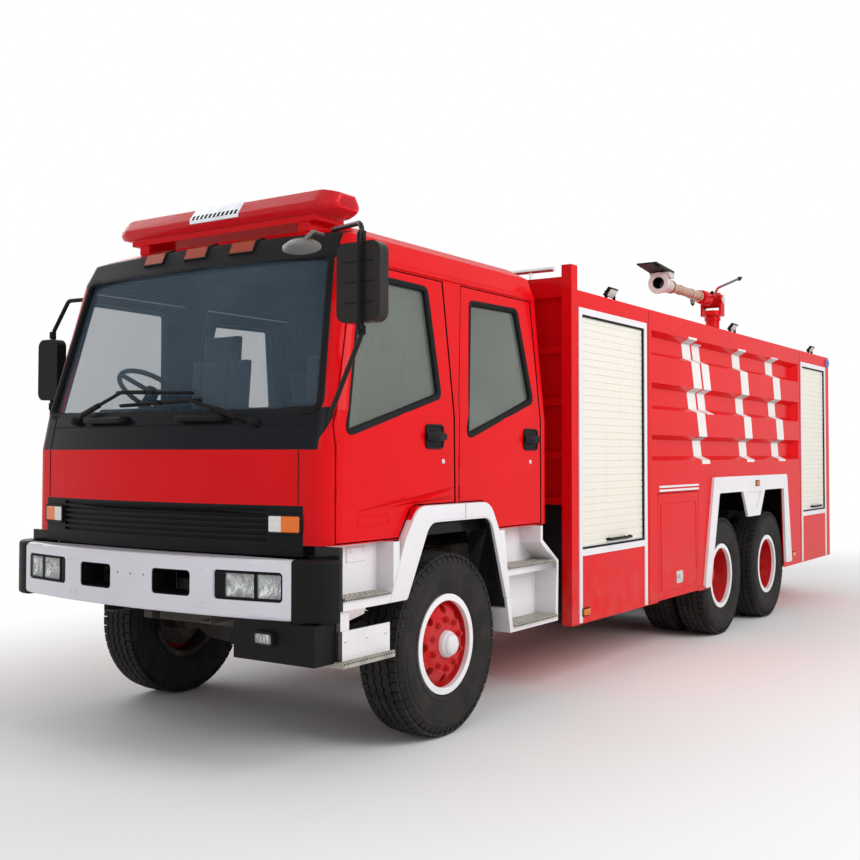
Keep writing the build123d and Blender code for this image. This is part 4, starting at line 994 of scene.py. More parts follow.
def scatter_mesh(spots: Sequence[Spot], head: Head, size: Sequence[float], finish: Finish) -> bpy.types.Mesh:
    """Set a small shape on every spot.

    Args:
        spots: Places and facings, in the front axle's frame.
        head: Which shape.
        size: Its length, width and height.
        finish: Its finish.

    Returns:
        The shapes as one plain mesh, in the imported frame.
    """
    key = (head, finish.name)
    if key not in SCATTERS:
        SCATTERS[key] = Scatter(head, finish)
    tree = SCATTERS[key]
    points = bpy.data.meshes.new("spots")
    forward = Vector((FRONT_AXLE, 0, 0))
    points.from_pydata([spot.place + forward for spot in spots], [], [])
    for label, rows in (("aim", [s.aim for s in spots]), ("side", [s.side for s in spots])):
        attribute = points.attributes.new(label, "FLOAT_VECTOR", "POINT")
        attribute.data.foreach_set("vector", [part for row in rows for part in row])
    holder = bpy.data.objects.new("spots", points)
    bpy.context.scene.collection.objects.link(holder)
    modifier = holder.modifiers.new("scatter", "NODES")
    modifier.node_group = tree.tree
    for label, value in zip(("Length", "Width", "Height"), size):
        modifier[tree.sizes[label]] = float(value)
    graph = bpy.context.evaluated_depsgraph_get()
    made = bpy.data.meshes.new_from_object(holder.evaluated_get(graph))
    holder.modifiers.remove(modifier)
    bpy.data.objects.remove(holder)
    bpy.data.meshes.remove(points)
    return made


def scatter(
    name: str, spots: Sequence[Spot], head: Head, size: Sequence[float], finish: Finish, body: str
) -> bpy.types.Object:
    """Set a small shape on every spot as one piece that rides on a body."""
    return settle(name, scatter_mesh(spots, head, size, finish), body, finish)


@dataclass(frozen=True)
class CabSkin:
    """The cab's outer surface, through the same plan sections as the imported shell."""

    # Columns: height, nose, half width, bow of the front
    rows: tuple[tuple[float, float, float, float], ...] = (
        (1.140, 1.175, 1.150, 0.130),
        (1.620, 1.175, 1.150, 0.130),
        (1.820, 1.130, 1.150, 0.130),
        (2.650, 0.882, 1.070, 0.095),
        (2.765, 0.832, 1.030, 0.090),
        (2.825, 0.690, 0.930, 0.075),
    )

    def section(self, z: float) -> tuple[float, float, float]:
        """Nose, half width and bow at a height."""
        for low, high in zip(self.rows, self.rows[1:]):
            if z <= high[0]:
                t = (z - low[0]) / (high[0] - low[0])
                return tuple(a + (b - a) * t for a, b in zip(low[1:], high[1:]))
        return self.rows[-1][1:]

    def front(self, y: float, z: float, lift: float = 0.0) -> Vector:
        """Point on the front, lifted forward."""
        nose, half, bow = self.section(z)
        radius = (half * half + bow * bow) / (2 * bow)
        return Vector((nose - radius + math.sqrt(radius * radius - y * y) + lift, y, z))

    def side(self, x: float, z: float, lift: float = 0.0) -> Vector:
        """Point on the left side, lifted outwards."""
        return Vector((x, self.section(z)[1] + lift, z))


SKIN = CabSkin()


Place = Callable[[float, float, float], Vector]


def outline(corners: Sequence[tuple[float, float]], radius: float, grow: float = 0.0) -> list[tuple[float, float]]:
    """Closed flat outline with rounded corners, grown outwards.

    Args:
        corners: Corners in order round the outline.
        radius: Corner radius.
        grow: How far the outline moves outwards.

    Returns:
        Points round the outline.
    """
    line = rounded([Vector((a, b, 0.0)) for a, b in corners], radius, closed=True)
    area = sum(p.x * q.y - q.x * p.y for p, q in zip(line, line[1:] + line[:1]))
    sign = 1.0 if area > 0 else -1.0
    grown = []
    for index, point in enumerate(line):
        along = line[(index + 1) % len(line)] - line[index - 1]
        out = Vector((along.y, -along.x, 0.0)).normalized() * sign
        grown.append((point.x + out.x * grow, point.y + out.y * grow))
    return grown


def frame_ring(
    corners: Sequence[tuple[float, float]],
    radius: float,
    profile: Sequence[tuple[float, float]],
    place: Place,
) -> Shape:
    """Moulding that runs round an outline on a surface.

    Args:
        corners: The outline's corners.
        radius: Corner radius.
        profile: Closed section as (grow, lift) points.
        place: Gives the point on the surface for two coordinates and a lift.

    Returns:
        The ring.
    """
    loops = [[place(a, b, lift) for a, b in outline(corners, radius, grow)] for grow, lift in profile]
    return Shape().grid([*loops, loops[0]], around=True)


def side_plane(out: float) -> Place:
    """Places (x, z, lift) on an upright plane that far to the left, lifted outwards."""

    def place(x: float, z: float, lift: float = 0.0) -> Vector:
        """Point on the plane."""
        return Vector((x, out + lift, z))

    return place


def end_plane(ahead: float, way: float = 1.0) -> Place:
    """Places (y, z, lift) on an upright plane across the truck, lifted forward or, for -1, backward."""

    def place(y: float, z: float, lift: float = 0.0) -> Vector:
        """Point on the plane."""
        return Vector((ahead + way * lift, y, z))

    return place


def rectangle(low: tuple[float, float], high: tuple[float, float]) -> tuple[tuple[float, float], ...]:
    """Corners of a rectangle."""
    return ((low[0], low[1]), (high[0], low[1]), (high[0], high[1]), (low[0], high[1]))


def plate(
    corners: Sequence[tuple[float, float]],
    radius: float,
    depth: tuple[float, float],
    place: Place,
) -> Shape:
    """Plate with rounded corners on a surface, between two lifts, with a softened outer edge."""
    low, high = depth
    edge = min(0.003, abs(high - low) / 2)
    loops = [
        [place(a, b, lift) for a, b in outline(corners, radius, grow)]
        for grow, lift in ((0.0, low), (0.0, high - edge), (-edge, high))
    ]
    return Shape().grid(loops, around=True, caps=True)


@dataclass
class Tyres:
    """Tyres with ringed walls, zigzag ribs and shoulder lugs, twin ones on the rear axles."""

    carcass: tuple[tuple[float, float], ...] = (
        (0.098, 0.258), (0.104, 0.284), (0.116, 0.292), (0.122, 0.306), (0.124, 0.309), (0.126, 0.320),
        (0.123, 0.324), (0.132, 0.350), (0.137, 0.384), (0.1375, 0.398), (0.137, 0.414), (0.1385, 0.417),
        (0.1385, 0.423), (0.136, 0.426), (0.134, 0.444), (0.1355, 0.447), (0.135, 0.454), (0.132, 0.457),
        (0.126, 0.476), (0.116, 0.490), (0.096, 0.499), (0.060, 0.504), (0.0, 0.506),
    )
    # Columns: distance of a zigzag rib from the middle, its width, its top's radius
    ribs: tuple[tuple[float, float, float], ...] = ((0.0, 0.036, 0.5200), (0.050, 0.038, 0.5190), (-0.050, 0.038, 0.5190))
    zigzag: float = 0.0065
    lug_out: float = 0.098
    # Columns: length round the tyre, width, height
    lug_size: tuple[float, float, float] = (0.050, 0.040, 0.0155)
    wall_lug_size: tuple[float, float, float] = (0.022, 0.026, 0.008)
    pitch_count: int = 56
    steps: int = 84
    twin_spacing: float = 0.325
    outer_y: float = 1.092
    front_y: float = 1.040

    def _rib(self, shape: Shape, out: float, width: float, radius: float) -> None:
        """One rib round the tyre, swinging from side to side."""
        loops = []
        count = 2 * self.pitch_count
        for edge, depth in ((-0.56, 0.018), (-0.5, 0.0), (0.5, 0.0), (0.56, 0.018)):
            loop = []
            for step in range(count):
                angle = 2 * math.pi * step / count
                y = out + edge * width + (self.zigzag if step % 2 else -self.zigzag)
                loop.append(Vector(((radius - depth) * math.sin(angle), y, (radius - depth) * math.cos(angle))))
            loops.append(loop)
        shape.grid([*loops, loops[0]], around=True)

    def _lugs(self) -> tuple[list[Spot], list[Spot]]:
        """Places of the lugs along the shoulders and of the bars down the walls below them."""
        lugs, bars = [], []
        for way in (-1, 1):
            for index in range(self.pitch_count):
                angle = 2 * math.pi * (index + 0.25 * way) / self.pitch_count
                aim = Vector((math.sin(angle), 0.0, math.cos(angle)))
                round_way = Vector((math.cos(angle), 0.0, -math.sin(angle)))
                out = Vector((0, way, 0))
                lugs.append(Spot(aim * 0.4985 + out * self.lug_out, (aim + out * 0.10).normalized(), round_way))
                bars.append(Spot(aim * 0.478 + out * 0.121, (out + aim * 0.45).normalized(), round_way))
        return lugs, bars

    def one(self) -> bpy.types.Mesh:
        """A tyre about the Y axis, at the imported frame's origin."""
        far = tuple((-out, radius) for out, radius in reversed(self.carcass[:-1]))
        body = Shape().lathe(self.carcass + far, Vector(), Vector((0, 1, 0)), self.steps, ring=True)
        for row in self.ribs:
            self._rib(body, *row)
        back = Matrix.Translation((-FRONT_AXLE, 0, 0))
        for spots, size in zip(self._lugs(), (self.lug_size, self.wall_lug_size)):
            blocks = scatter_mesh(spots, Head.BLOCK, size, TYRE_BLACK)
            blocks.transform(back)
            body.mesh.from_mesh(blocks)
            bpy.data.meshes.remove(blocks)
        data = bpy.data.meshes.new("tyre")
        bmesh.ops.recalc_face_normals(body.mesh, faces=body.mesh.faces)
        body.mesh.to_mesh(data)
        body.mesh.free()
        return data

    def build(self) -> None:
        """Set a tyre on every rim."""
        pattern = self.one()
        for place, x in AXLE_X.items():
            for side, way in SIDES.items():
                front = place == "front"
                ys = [self.front_y] if front else [self.outer_y, self.outer_y - self.twin_spacing]
                joined = bmesh.new()
                for index, y in enumerate(ys):
                    turn = Matrix.Rotation(0.05 * index + 0.3 * way, 4, "Y")
                    copy = pattern.copy()
                    copy.transform(Matrix.Translation((FRONT_AXLE + x, way * y, TYRE_RADIUS)) @ turn)
                    joined.from_mesh(copy)
                    bpy.data.meshes.remove(copy)
                label = ("tyre_" if front else "tyres_") + place + "_" + side
                data = bpy.data.meshes.new("treaded_" + label)
                joined.to_mesh(data)
                joined.free()
                body = "front_wheel_" + side if front else place + "_wheels_" + side
                settle("treaded_" + label, data, body, TYRE_BLACK, (label,))
        bpy.data.meshes.remove(pattern)


@dataclass
class WheelHardware:
    """Nuts, hub bolts and valves of the wheels."""

    nut_count: int = 10
    front_nut_circle: float = 0.138
    front_nut_out: float = 1.040 + 0.105
    rear_nut_circle: float = 0.150
    rear_nut_out: float = 1.092 - 0.1465
    # Columns: distance out from the nuts' seat, radius
    hub_cap: tuple[tuple[float, float], ...] = (
        (-0.004, 0.078), (0.020, 0.076), (0.032, 0.070), (0.034, 0.064), (0.052, 0.058), (0.062, 0.046), (0.066, 0.020),
    )

    def _circle(self, x: float, y: float, way: float, radius: float, count: int) -> list[Spot]:
        """Spots on a circle about an axle, facing outwards."""
        spots = []
        for index in range(count):
            angle = 2 * math.pi * (index + 0.5) / count
            place = Vector((x + radius * math.cos(angle), way * y, TYRE_RADIUS + radius * math.sin(angle)))
            spots.append(Spot(place, Vector((0, way, 0)), Vector((math.cos(angle), 0, math.sin(angle)))))
        return spots

    def build(self) -> None:
        """Set the hardware on every wheel."""
        for place, x in AXLE_X.items():
            for side, way in SIDES.items():
                front = place == "front"
                body = "front_wheel_" + side if front else place + "_wheels_" + side
                tag = place + "_" + side
                out, circle = (
                    (self.front_nut_out, self.front_nut_circle) if front else (self.rear_nut_out, self.rear_nut_circle)
                )
                nuts = self._circle(x, out, way, circle, self.nut_count)
                scatter("wheel_nuts_" + tag, nuts, Head.HEX, (0.038, 0.038, 0.022), WHEEL_REDS[place], body)
                scatter("wheel_studs_" + tag, nuts, Head.ROUND, (0.021, 0.021, 0.030), WHEEL_REDS[place], body)
                if front:
                    cap = Shape().lathe(self.hub_cap, Vector((x, way * self.front_nut_out, TYRE_RADIUS)), Vector((0, way, 0)), 36)
                    cap.piece("hub_cap_" + tag, body, STEP_WHITE)
                rim_out = way * ((1.040 if front else 1.092) + 0.085)
                valve = vec(((x + 0.243, rim_out - way * 0.05, TYRE_RADIUS), (x + 0.236, rim_out + way * 0.02, TYRE_RADIUS)))
                Shape().tube(valve, 0.006, 8).piece("tyre_valve_" + tag, body, BRUSHED)


@dataclass
class CabFront:
    """Windscreen gasket, wipers, grab bars, cowl seams, visor lamp frames and grille lamp frames."""

    screen: tuple[tuple[float, float], ...] = ((-1.045, 1.830), (1.045, 1.830), (0.950, 2.640), (-0.950, 2.640))
    # Columns: pivot y, z, elbow y, z, blade's start y, z, blade's end y, z
    wipers: tuple[tuple[float, ...], ...] = (
        (-0.710, 1.787, -0.281, 1.943, -0.360, 1.946, 0.257, 1.927),
        (0.692, 1.766, 0.273, 1.884, 0.330, 1.886, -0.300, 1.868),
    )
    wiper_pivot: tuple[tuple[float, float], ...] = ((-0.03, 0.026), (0.012, 0.026), (0.022, 0.020), (0.026, 0.008))
    grab_bars: tuple[tuple[float, float], ...] = ((-0.577, -0.237), (0.198, 0.508))
    bar_z: float = 1.785
    marker_ys: tuple[float, ...] = (-0.35, 0.0, 0.35)
    marker_half: float = 0.084
    marker_heights: tuple[float, ...] = (2.704, 2.735, 2.765, 2.780, 2.792)

    def gasket(self) -> None:
        """Rubber round the windscreen."""
        profile = ((0.030, -0.004), (0.028, 0.006), (0.004, 0.011), (-0.010, 0.002), (-0.012, -0.024), (0.0, -0.024))
        ring = frame_ring(self.screen, 0.045, profile, SKIN.front)
        ring.piece("windscreen_rubber", "chassis", SEAL_RUBBER)

    def wiper_pair(self) -> None:
        """Pivots, arms, blade frames and rubbers."""
        arms, blades = Shape(), Shape()
        for row in self.wipers:
            pivot = SKIN.front(row[0], row[1], 0.020)
            elbow = SKIN.front(row[2], row[3], 0.052)
            start, end = SKIN.front(row[4], row[5], 0.026), SKIN.front(row[6], row[7], 0.026)
            arms.lathe(self.wiper_pivot, pivot, Vector((1, 0, 0.15)), 18)
            shoulder = pivot.lerp(elbow, 0.22) + Vector((0.020, 0, 0))
            tip = start.lerp(end, 0.42) + Vector((0.018, 0, 0))
            arms.tube(rounded([pivot, shoulder, elbow, tip], 0.05), 0.0105, 8)
            arms.tube([shoulder, shoulder.lerp(elbow, 0.42)], 0.0165, 8)
            spine = Vector((0.016, 0, 0))
            middle = start.lerp(end, 0.5)
            for near, far in ((0.0, 0.34), (0.16, 0.84), (0.66, 1.0)):
                a, b = start.lerp(end, near), start.lerp(end, far)
                blades.tube(rounded([a, a.lerp(b, 0.2) + spine, a.lerp(b, 0.8) + spine, b], 0.03), 0.0065, 8)
            drop = Vector((0, 0, -0.012))
            blades.prism([start, end, end + drop, start + drop], Vector((-0.012, 0, 0)), 0.002)
            blades.box(middle + Vector((0.004, -0.025, -0.012)), middle + Vector((0.030, 0.025, 0.012)), 0.004)
        arms.piece("wiper_arms", "chassis", SEAL_RUBBER)
        blades.piece("wiper_blades", "chassis", SEAL_RUBBER)

    def cowl_parts(self) -> None:
        """Grab bars and seams on the black cowl."""
        bars = Shape()
        for near, far in self.grab_bars:
            z = self.bar_z
            bend = ((near, -0.004), (near, 0.042), (far, 0.042), (far, -0.004))
            line = [SKIN.front(y, z, lift) for y, lift in bend]
            bars.tube(rounded(line, 0.022), 0.0185, 14)
        bars.piece("cowl_grab_bars", "chassis", BLACK_MOULDING)
        seams = Shape()
        count = 24
        seams.tube([SKIN.front(-1.0 + 2.0 * i / count, 1.752, 0.0005) for i in range(count + 1)], 0.004, 6)
        for y in (-0.972, 0.972):
            seams.tube([SKIN.front(y, z, 0.0005) for z in (1.625, 1.70, 1.80)], 0.003, 6)
            seams.tube([SKIN.front(y, z, 0.0005) for z in (1.345, 1.45, 1.615)], 0.003, 6)
        seams.piece("cowl_seams", "chassis", SEAL_RUBBER)

    def front_lamps(self) -> None:
        """Marker lenses on the visor, turn lamps in the grille and their frames."""
        out = Vector((0.70, 0.0, 0.71))
        lenses, turns, frames = Shape(), Shape(), Shape()
        for middle in self.marker_ys:
            rows = []
            for z in self.marker_heights:
                ys = [middle + step * self.marker_half / 2 for step in (-2, -1, 0, 1, 2)]
                rows.append([SKIN.front(y, z) + out * 0.010 for y in ys])
            lenses.slab(rows, out * -0.016)
            edge = [rows[0][0], rows[0][-1], rows[2][-1], rows[-1][-1], rows[-1][0], rows[2][0]]
            frames.tube([point - out * 0.006 for point in edge], 0.007, 8, closed=True)
        section = ((0.014, 0.0), (0.012, 0.014), (0.0, 0.014), (0.0, 0.0))
        for near in (-0.988, 0.812):
            corners = rectangle((near, 1.205), (near + 0.176, 1.285))
            turns.add(plate(corners, 0.008, (-0.004, 0.017), SKIN.front))
            frames.add(frame_ring(corners, 0.008, section, SKIN.front))
        turns.piece("turn_lamp_lenses", "chassis", TURN_LENS, "amber_lamps")
        lenses.piece("visor_marker_lenses", "chassis", MARKER_LENS)
        frames.piece("front_lamp_frames", "chassis", BLACK_MOULDING)

    def build(self) -> None:
        """Build every piece of the cab's front."""
        self.gasket()
        self.wiper_pair()
        self.cowl_parts()
        self.front_lamps()


@dataclass
class CabDoors:
    """Window rubbers, handles, locks, pressings and drip rails of the four doors."""

    windows: dict[str, tuple[tuple[float, float], ...]] = field(
        default_factory=lambda: {
            "front": ((0.930, 1.690), (0.712, 2.550), (0.100, 2.545), (0.045, 1.925)),
            "rear": ((-0.225, 1.690), (-0.365, 2.520), (-0.935, 2.530), (-1.045, 1.940)),
        }
    )
    handles: dict[str, tuple[float, float]] = field(
        default_factory=lambda: {"front": (0.125, 1.697), "rear": (-0.994, 1.693)}
    )
    locks: dict[str, tuple[float, float]] = field(
        default_factory=lambda: {"front": (0.032, 1.556), "rear": (-0.993, 1.548)}
    )
    handle_half: tuple[float, float] = (0.088, 0.066)

    def rubber(self, door: str, side: str) -> None:
        """Window rubber on one door."""
        profile = ((0.011, -0.002), (0.010, 0.004), (0.0, 0.006), (-0.018, -0.002), (-0.022, -0.020), (0.0, -0.022))
        ring = frame_ring(self.windows[door], 0.045, profile, SKIN.side).sided(SIDES[side])
        ring.piece("window_rubber_" + door + "_" + side, door + "_door_" + side, SEAL_RUBBER)

    def handle(self, door: str, side: str) -> None:
        """Recessed pull handle with its lock."""
        x, z = self.handles[door]
        wide, tall = self.handle_half
        bowl = plate(rectangle((x - wide, z - tall), (x + wide, z + tall)), 0.034, (-0.002, 0.005), SKIN.side)
        rim = ((0.004, 0.0), (0.003, 0.010), (-0.008, 0.011), (-0.012, 0.003))
        bowl.add(frame_ring(rectangle((x - wide, z - tall), (x + wide, z + tall)), 0.034, rim, SKIN.side))
        grip_rows = []
        for step in range(9):
            t = step / 8
            along = x + wide * 1.10 - 2.2 * wide * t
            arch = 0.012 + 0.020 * math.sin(math.pi * min(max(t, 0.08), 0.92))
            tall_here = 0.020 + 0.010 * math.sin(math.pi * t)
            ring = []
            for corner in range(12):
                angle = 2 * math.pi * corner / 12
                ring.append(SKIN.side(along, z + tall_here * math.sin(angle), arch + 0.010 * math.cos(angle)))
            grip_rows.append(ring)
        bowl.grid(grip_rows, around=True, caps=True)
        bowl.sided(SIDES[side]).piece("door_handle_" + door + "_" + side, door + "_door_" + side, BLACK_MOULDING)
        x, z = self.locks[door]
        barrel = ((-0.002, 0.015), (0.003, 0.015), (0.006, 0.012), (0.005, 0.005))
        lock = Shape().lathe(barrel, SKIN.side(x, z), LEFT, 20).sided(SIDES[side])
        lock.piece("door_lock_" + door + "_" + side, door + "_door_" + side, BRUSHED)

    def pressings(self, side: str) -> None:
        """Blade-shaped crease and small rectangle pressed into the front door."""
        blade = Shape()
        for low, high, ridge in (
            ((0.865, 1.299), (-0.058, 1.447), (-0.058, 1.418)),
            ((0.560, 1.316), (-0.040, 1.398), (-0.040, 1.370)),
        ):
            rows = []
            for step in range(13):
                t = step / 12
                x = low[0] + (high[0] - low[0]) * t
                top = low[1] + (high[1] - low[1]) * t
                crest = low[1] + (ridge[1] - low[1]) * t
                foot = crest - 0.030 * t
                lift = 0.019 * math.sin(math.pi * (0.06 + 0.90 * t) / 1.6)
                section = ((top, -0.001), (crest, lift), (foot, -0.001), (crest, -0.004))
                rows.append([SKIN.side(x, z, out) for z, out in section])
            blade.grid(rows, around=True, caps=True)
        press = ((0.007, -0.002), (0.004, 0.003), (-0.004, 0.003), (-0.007, -0.002))
        blade.add(frame_ring(rectangle((0.555, 1.229), (0.823, 1.279)), 0.008, press, SKIN.side))
        blade.sided(SIDES[side]).piece("door_pressing_" + side, "front_door_" + side, BODY_RED)

    def drip_rail(self) -> None:
        """Rail over the doors."""
        count = 20
        line = [SKIN.side(0.70 - 1.88 * i / count, 2.622, 0.004) for i in range(count + 1)]
        Shape().tube(line, 0.008, 8).mirrored().piece("drip_rails", "chassis", BODY_RED)

    def build(self) -> None:
        """Dress all doors."""
        for side in SIDES:
            for door in self.windows:
                self.rubber(door, side)
                self.handle(door, side)
            self.pressings(side)
        self.drip_rail()


@dataclass
class Bumper:
    """Lamps, bolts and small holes of the white bumper, and the fog lamp below it."""

    bow_radius: float = 4.877
    nose: float = 1.310
    pocket: tuple[float, float, float, float] = (0.576, 0.983, 0.868, 1.016)
    # Columns: inner edge, outer edge
    lamps: tuple[tuple[float, float], ...] = ((0.642, 0.822), (0.832, 0.974))
    lamp_z: tuple[float, float] = (0.879, 1.005)
    bolts: tuple[tuple[float, float], ...] = ((0.470, 1.012), (0.520, 1.010), (0.470, 0.828), (0.520, 0.830))
    holes: tuple[float, ...] = (-0.10, 0.0, 0.10)

    def face(self, y: float, z: float, lift: float = 0.0) -> Vector:
        """Point on the bumper's bowed face."""
        return Vector((self.nose - self.bow_radius + math.sqrt(self.bow_radius**2 - y * y) + lift, y, z))

    def _bowl(self, inner: float, outer: float, depth: float, lift: float, count: int = 12) -> list[list[Vector]]:
        """Rows of a dished rectangle; a negative depth bulges forward."""
        low, high = self.lamp_z
        rows = []
        for i in range(count + 1):
            u = 2 * i / count - 1
            row = []
            for j in range(count + 1):
                v = 2 * j / count - 1
                dish = (1 - u * u) * (1 - v * v)
                y = (inner + outer) / 2 + u * (outer - inner) / 2
                row.append(self.face(y, (low + high) / 2 + v * (high - low) / 2, lift - depth * dish**0.6))
            rows.append(row)
        return rows

    def head_lamps(self) -> None:
        """Housings, reflectors, bulbs and cover glasses."""
        y0, y1, z0, z1 = self.pocket
        housing, bowls, bulbs, covers = Shape(), Shape(), Shape(), Shape()
        housing.box((1.131, y0 + 0.002, z0 + 0.002), (1.150, y1 - 0.002, z1 - 0.002), 0.002)
        sill = ((0.0, -0.070), (0.0, -0.012), (-0.010, -0.012), (-0.010, -0.070))
        hole = rectangle((y0 + 0.001, z0 + 0.001), (y1 - 0.001, z1 - 0.001))
        housing.add(frame_ring(hole, 0.020, sill, self.face))
        strip = rectangle((y0 + 0.010, z0 + 0.008), (self.lamps[0][0] - 0.004, z1 - 0.008))
        housing.add(plate(strip, 0.006, (-0.070, -0.010), self.face))
        for inner, outer in self.lamps:
            bowls.slab(self._bowl(inner, outer, 0.048, -0.014), Vector((-0.003, 0, 0)))
            covers.slab(self._bowl(inner - 0.002, outer + 0.002, -0.007, -0.010), Vector((-0.003, 0, 0)))
            rim = ((0.004, -0.020), (0.004, -0.006), (-0.004, -0.006), (-0.004, -0.020))
            corners = rectangle((inner, self.lamp_z[0]), (outer, self.lamp_z[1]))
            housing.add(frame_ring(corners, 0.008, rim, self.face))
            middle = self.face((inner + outer) / 2, sum(self.lamp_z) / 2, -0.060)
            bulbs.lathe(((0.0, 0.012), (0.020, 0.012), (0.030, 0.008), (0.034, 0.003)), middle, AHEAD, 16)
        housing.mirrored().piece("lamp_housings", "chassis", BLACK_MOULDING, "headlamps")
        bowls.mirrored().piece("lamp_reflectors", "chassis", GLINT_PAINTED_REFLECTOR)
        bulbs.mirrored().piece("lamp_bulbs", "chassis", BULB_GLASS)
        covers.mirrored().piece("lamp_covers", "chassis", LAMP_GLASS)

    def fog_lamp(self) -> None:
        """Reflector, frame and cover of the lamp in the box below the bumper."""
        front = end_plane(1.190)
        low, high = (0.800, 0.657), (0.915, 0.709)
        edge = ((0.012, 0.0), (0.012, 0.028), (0.0, 0.030), (-0.002, 0.0))
        ring = frame_ring(rectangle(low, high), 0.014, edge, front)
        ring.add(plate(rectangle((0.792, 0.650), (0.923, 0.714)), 0.010, (0.0, 0.006), front))
        ring.piece("fog_lamp_frame", "chassis", BLACK_MOULDING)
        for label, finish, depth in (("reflector", GLINT_PAINTED_REFLECTOR, (0.006, 0.012)), ("cover", LAMP_GLASS, (0.018, 0.024))):
            plate(rectangle(low, high), 0.012, depth, front).piece("fog_lamp_" + label, "chassis", finish)

    def fixings(self) -> None:
        """Domed bolts, black discs of painted shade in the small holes, and the end caps' screws."""
        bolts = []
        for y, z in self.bolts:
            for way in (-1, 1):
                bolts.append(Spot(self.face(way * y, z, -0.002), Vector((1, 0, 0)), Vector((0, 1, 0))))
        scatter("bumper_bolts", bolts, Head.DOME, (0.026, 0.026, 0.020), BUMPER_WHITE, "chassis")
        # Painted shade: thin black discs stand in for the shade inside the small holes.
        holes = [Spot(self.face(y, 0.962, -0.0018), AHEAD, LEFT) for y in self.holes]
        scatter("bumper_hole_painted_shade", holes, Head.ROUND, (0.011, 0.011, 0.0018), SEAL_RUBBER, "chassis")
        screws = []
        for way in (-1, 1):
            for z in (0.800, 0.920, 1.050):
                screws.append(Spot(Vector((1.180, way * 1.083, z)), Vector((0.80, way * 0.60, 0)).normalized(), UP))
        scatter("cap_screws", screws, Head.DOME, (0.018, 0.018, 0.010), BRUSHED, "chassis")
        edge = ((0.001, -0.170), (0.001, -0.004), (-0.005, -0.004), (-0.005, -0.170))
        slot = frame_ring(rectangle((0.161, 0.870), (0.427, 1.002)), 0.022, edge, self.face)
        slot.mirrored().piece("bumper_slot_edges", "chassis", BLACK_MOULDING)
        baffle = Shape().box((1.008, -0.960, 0.860), (1.016, 0.960, 1.190), 0.002)
        baffle.piece("radiator_baffle", "chassis", SEAL_RUBBER)

    def build(self) -> None:
        """Dress the bumper."""
        self.head_lamps()
        self.fog_lamp()
        self.fixings()


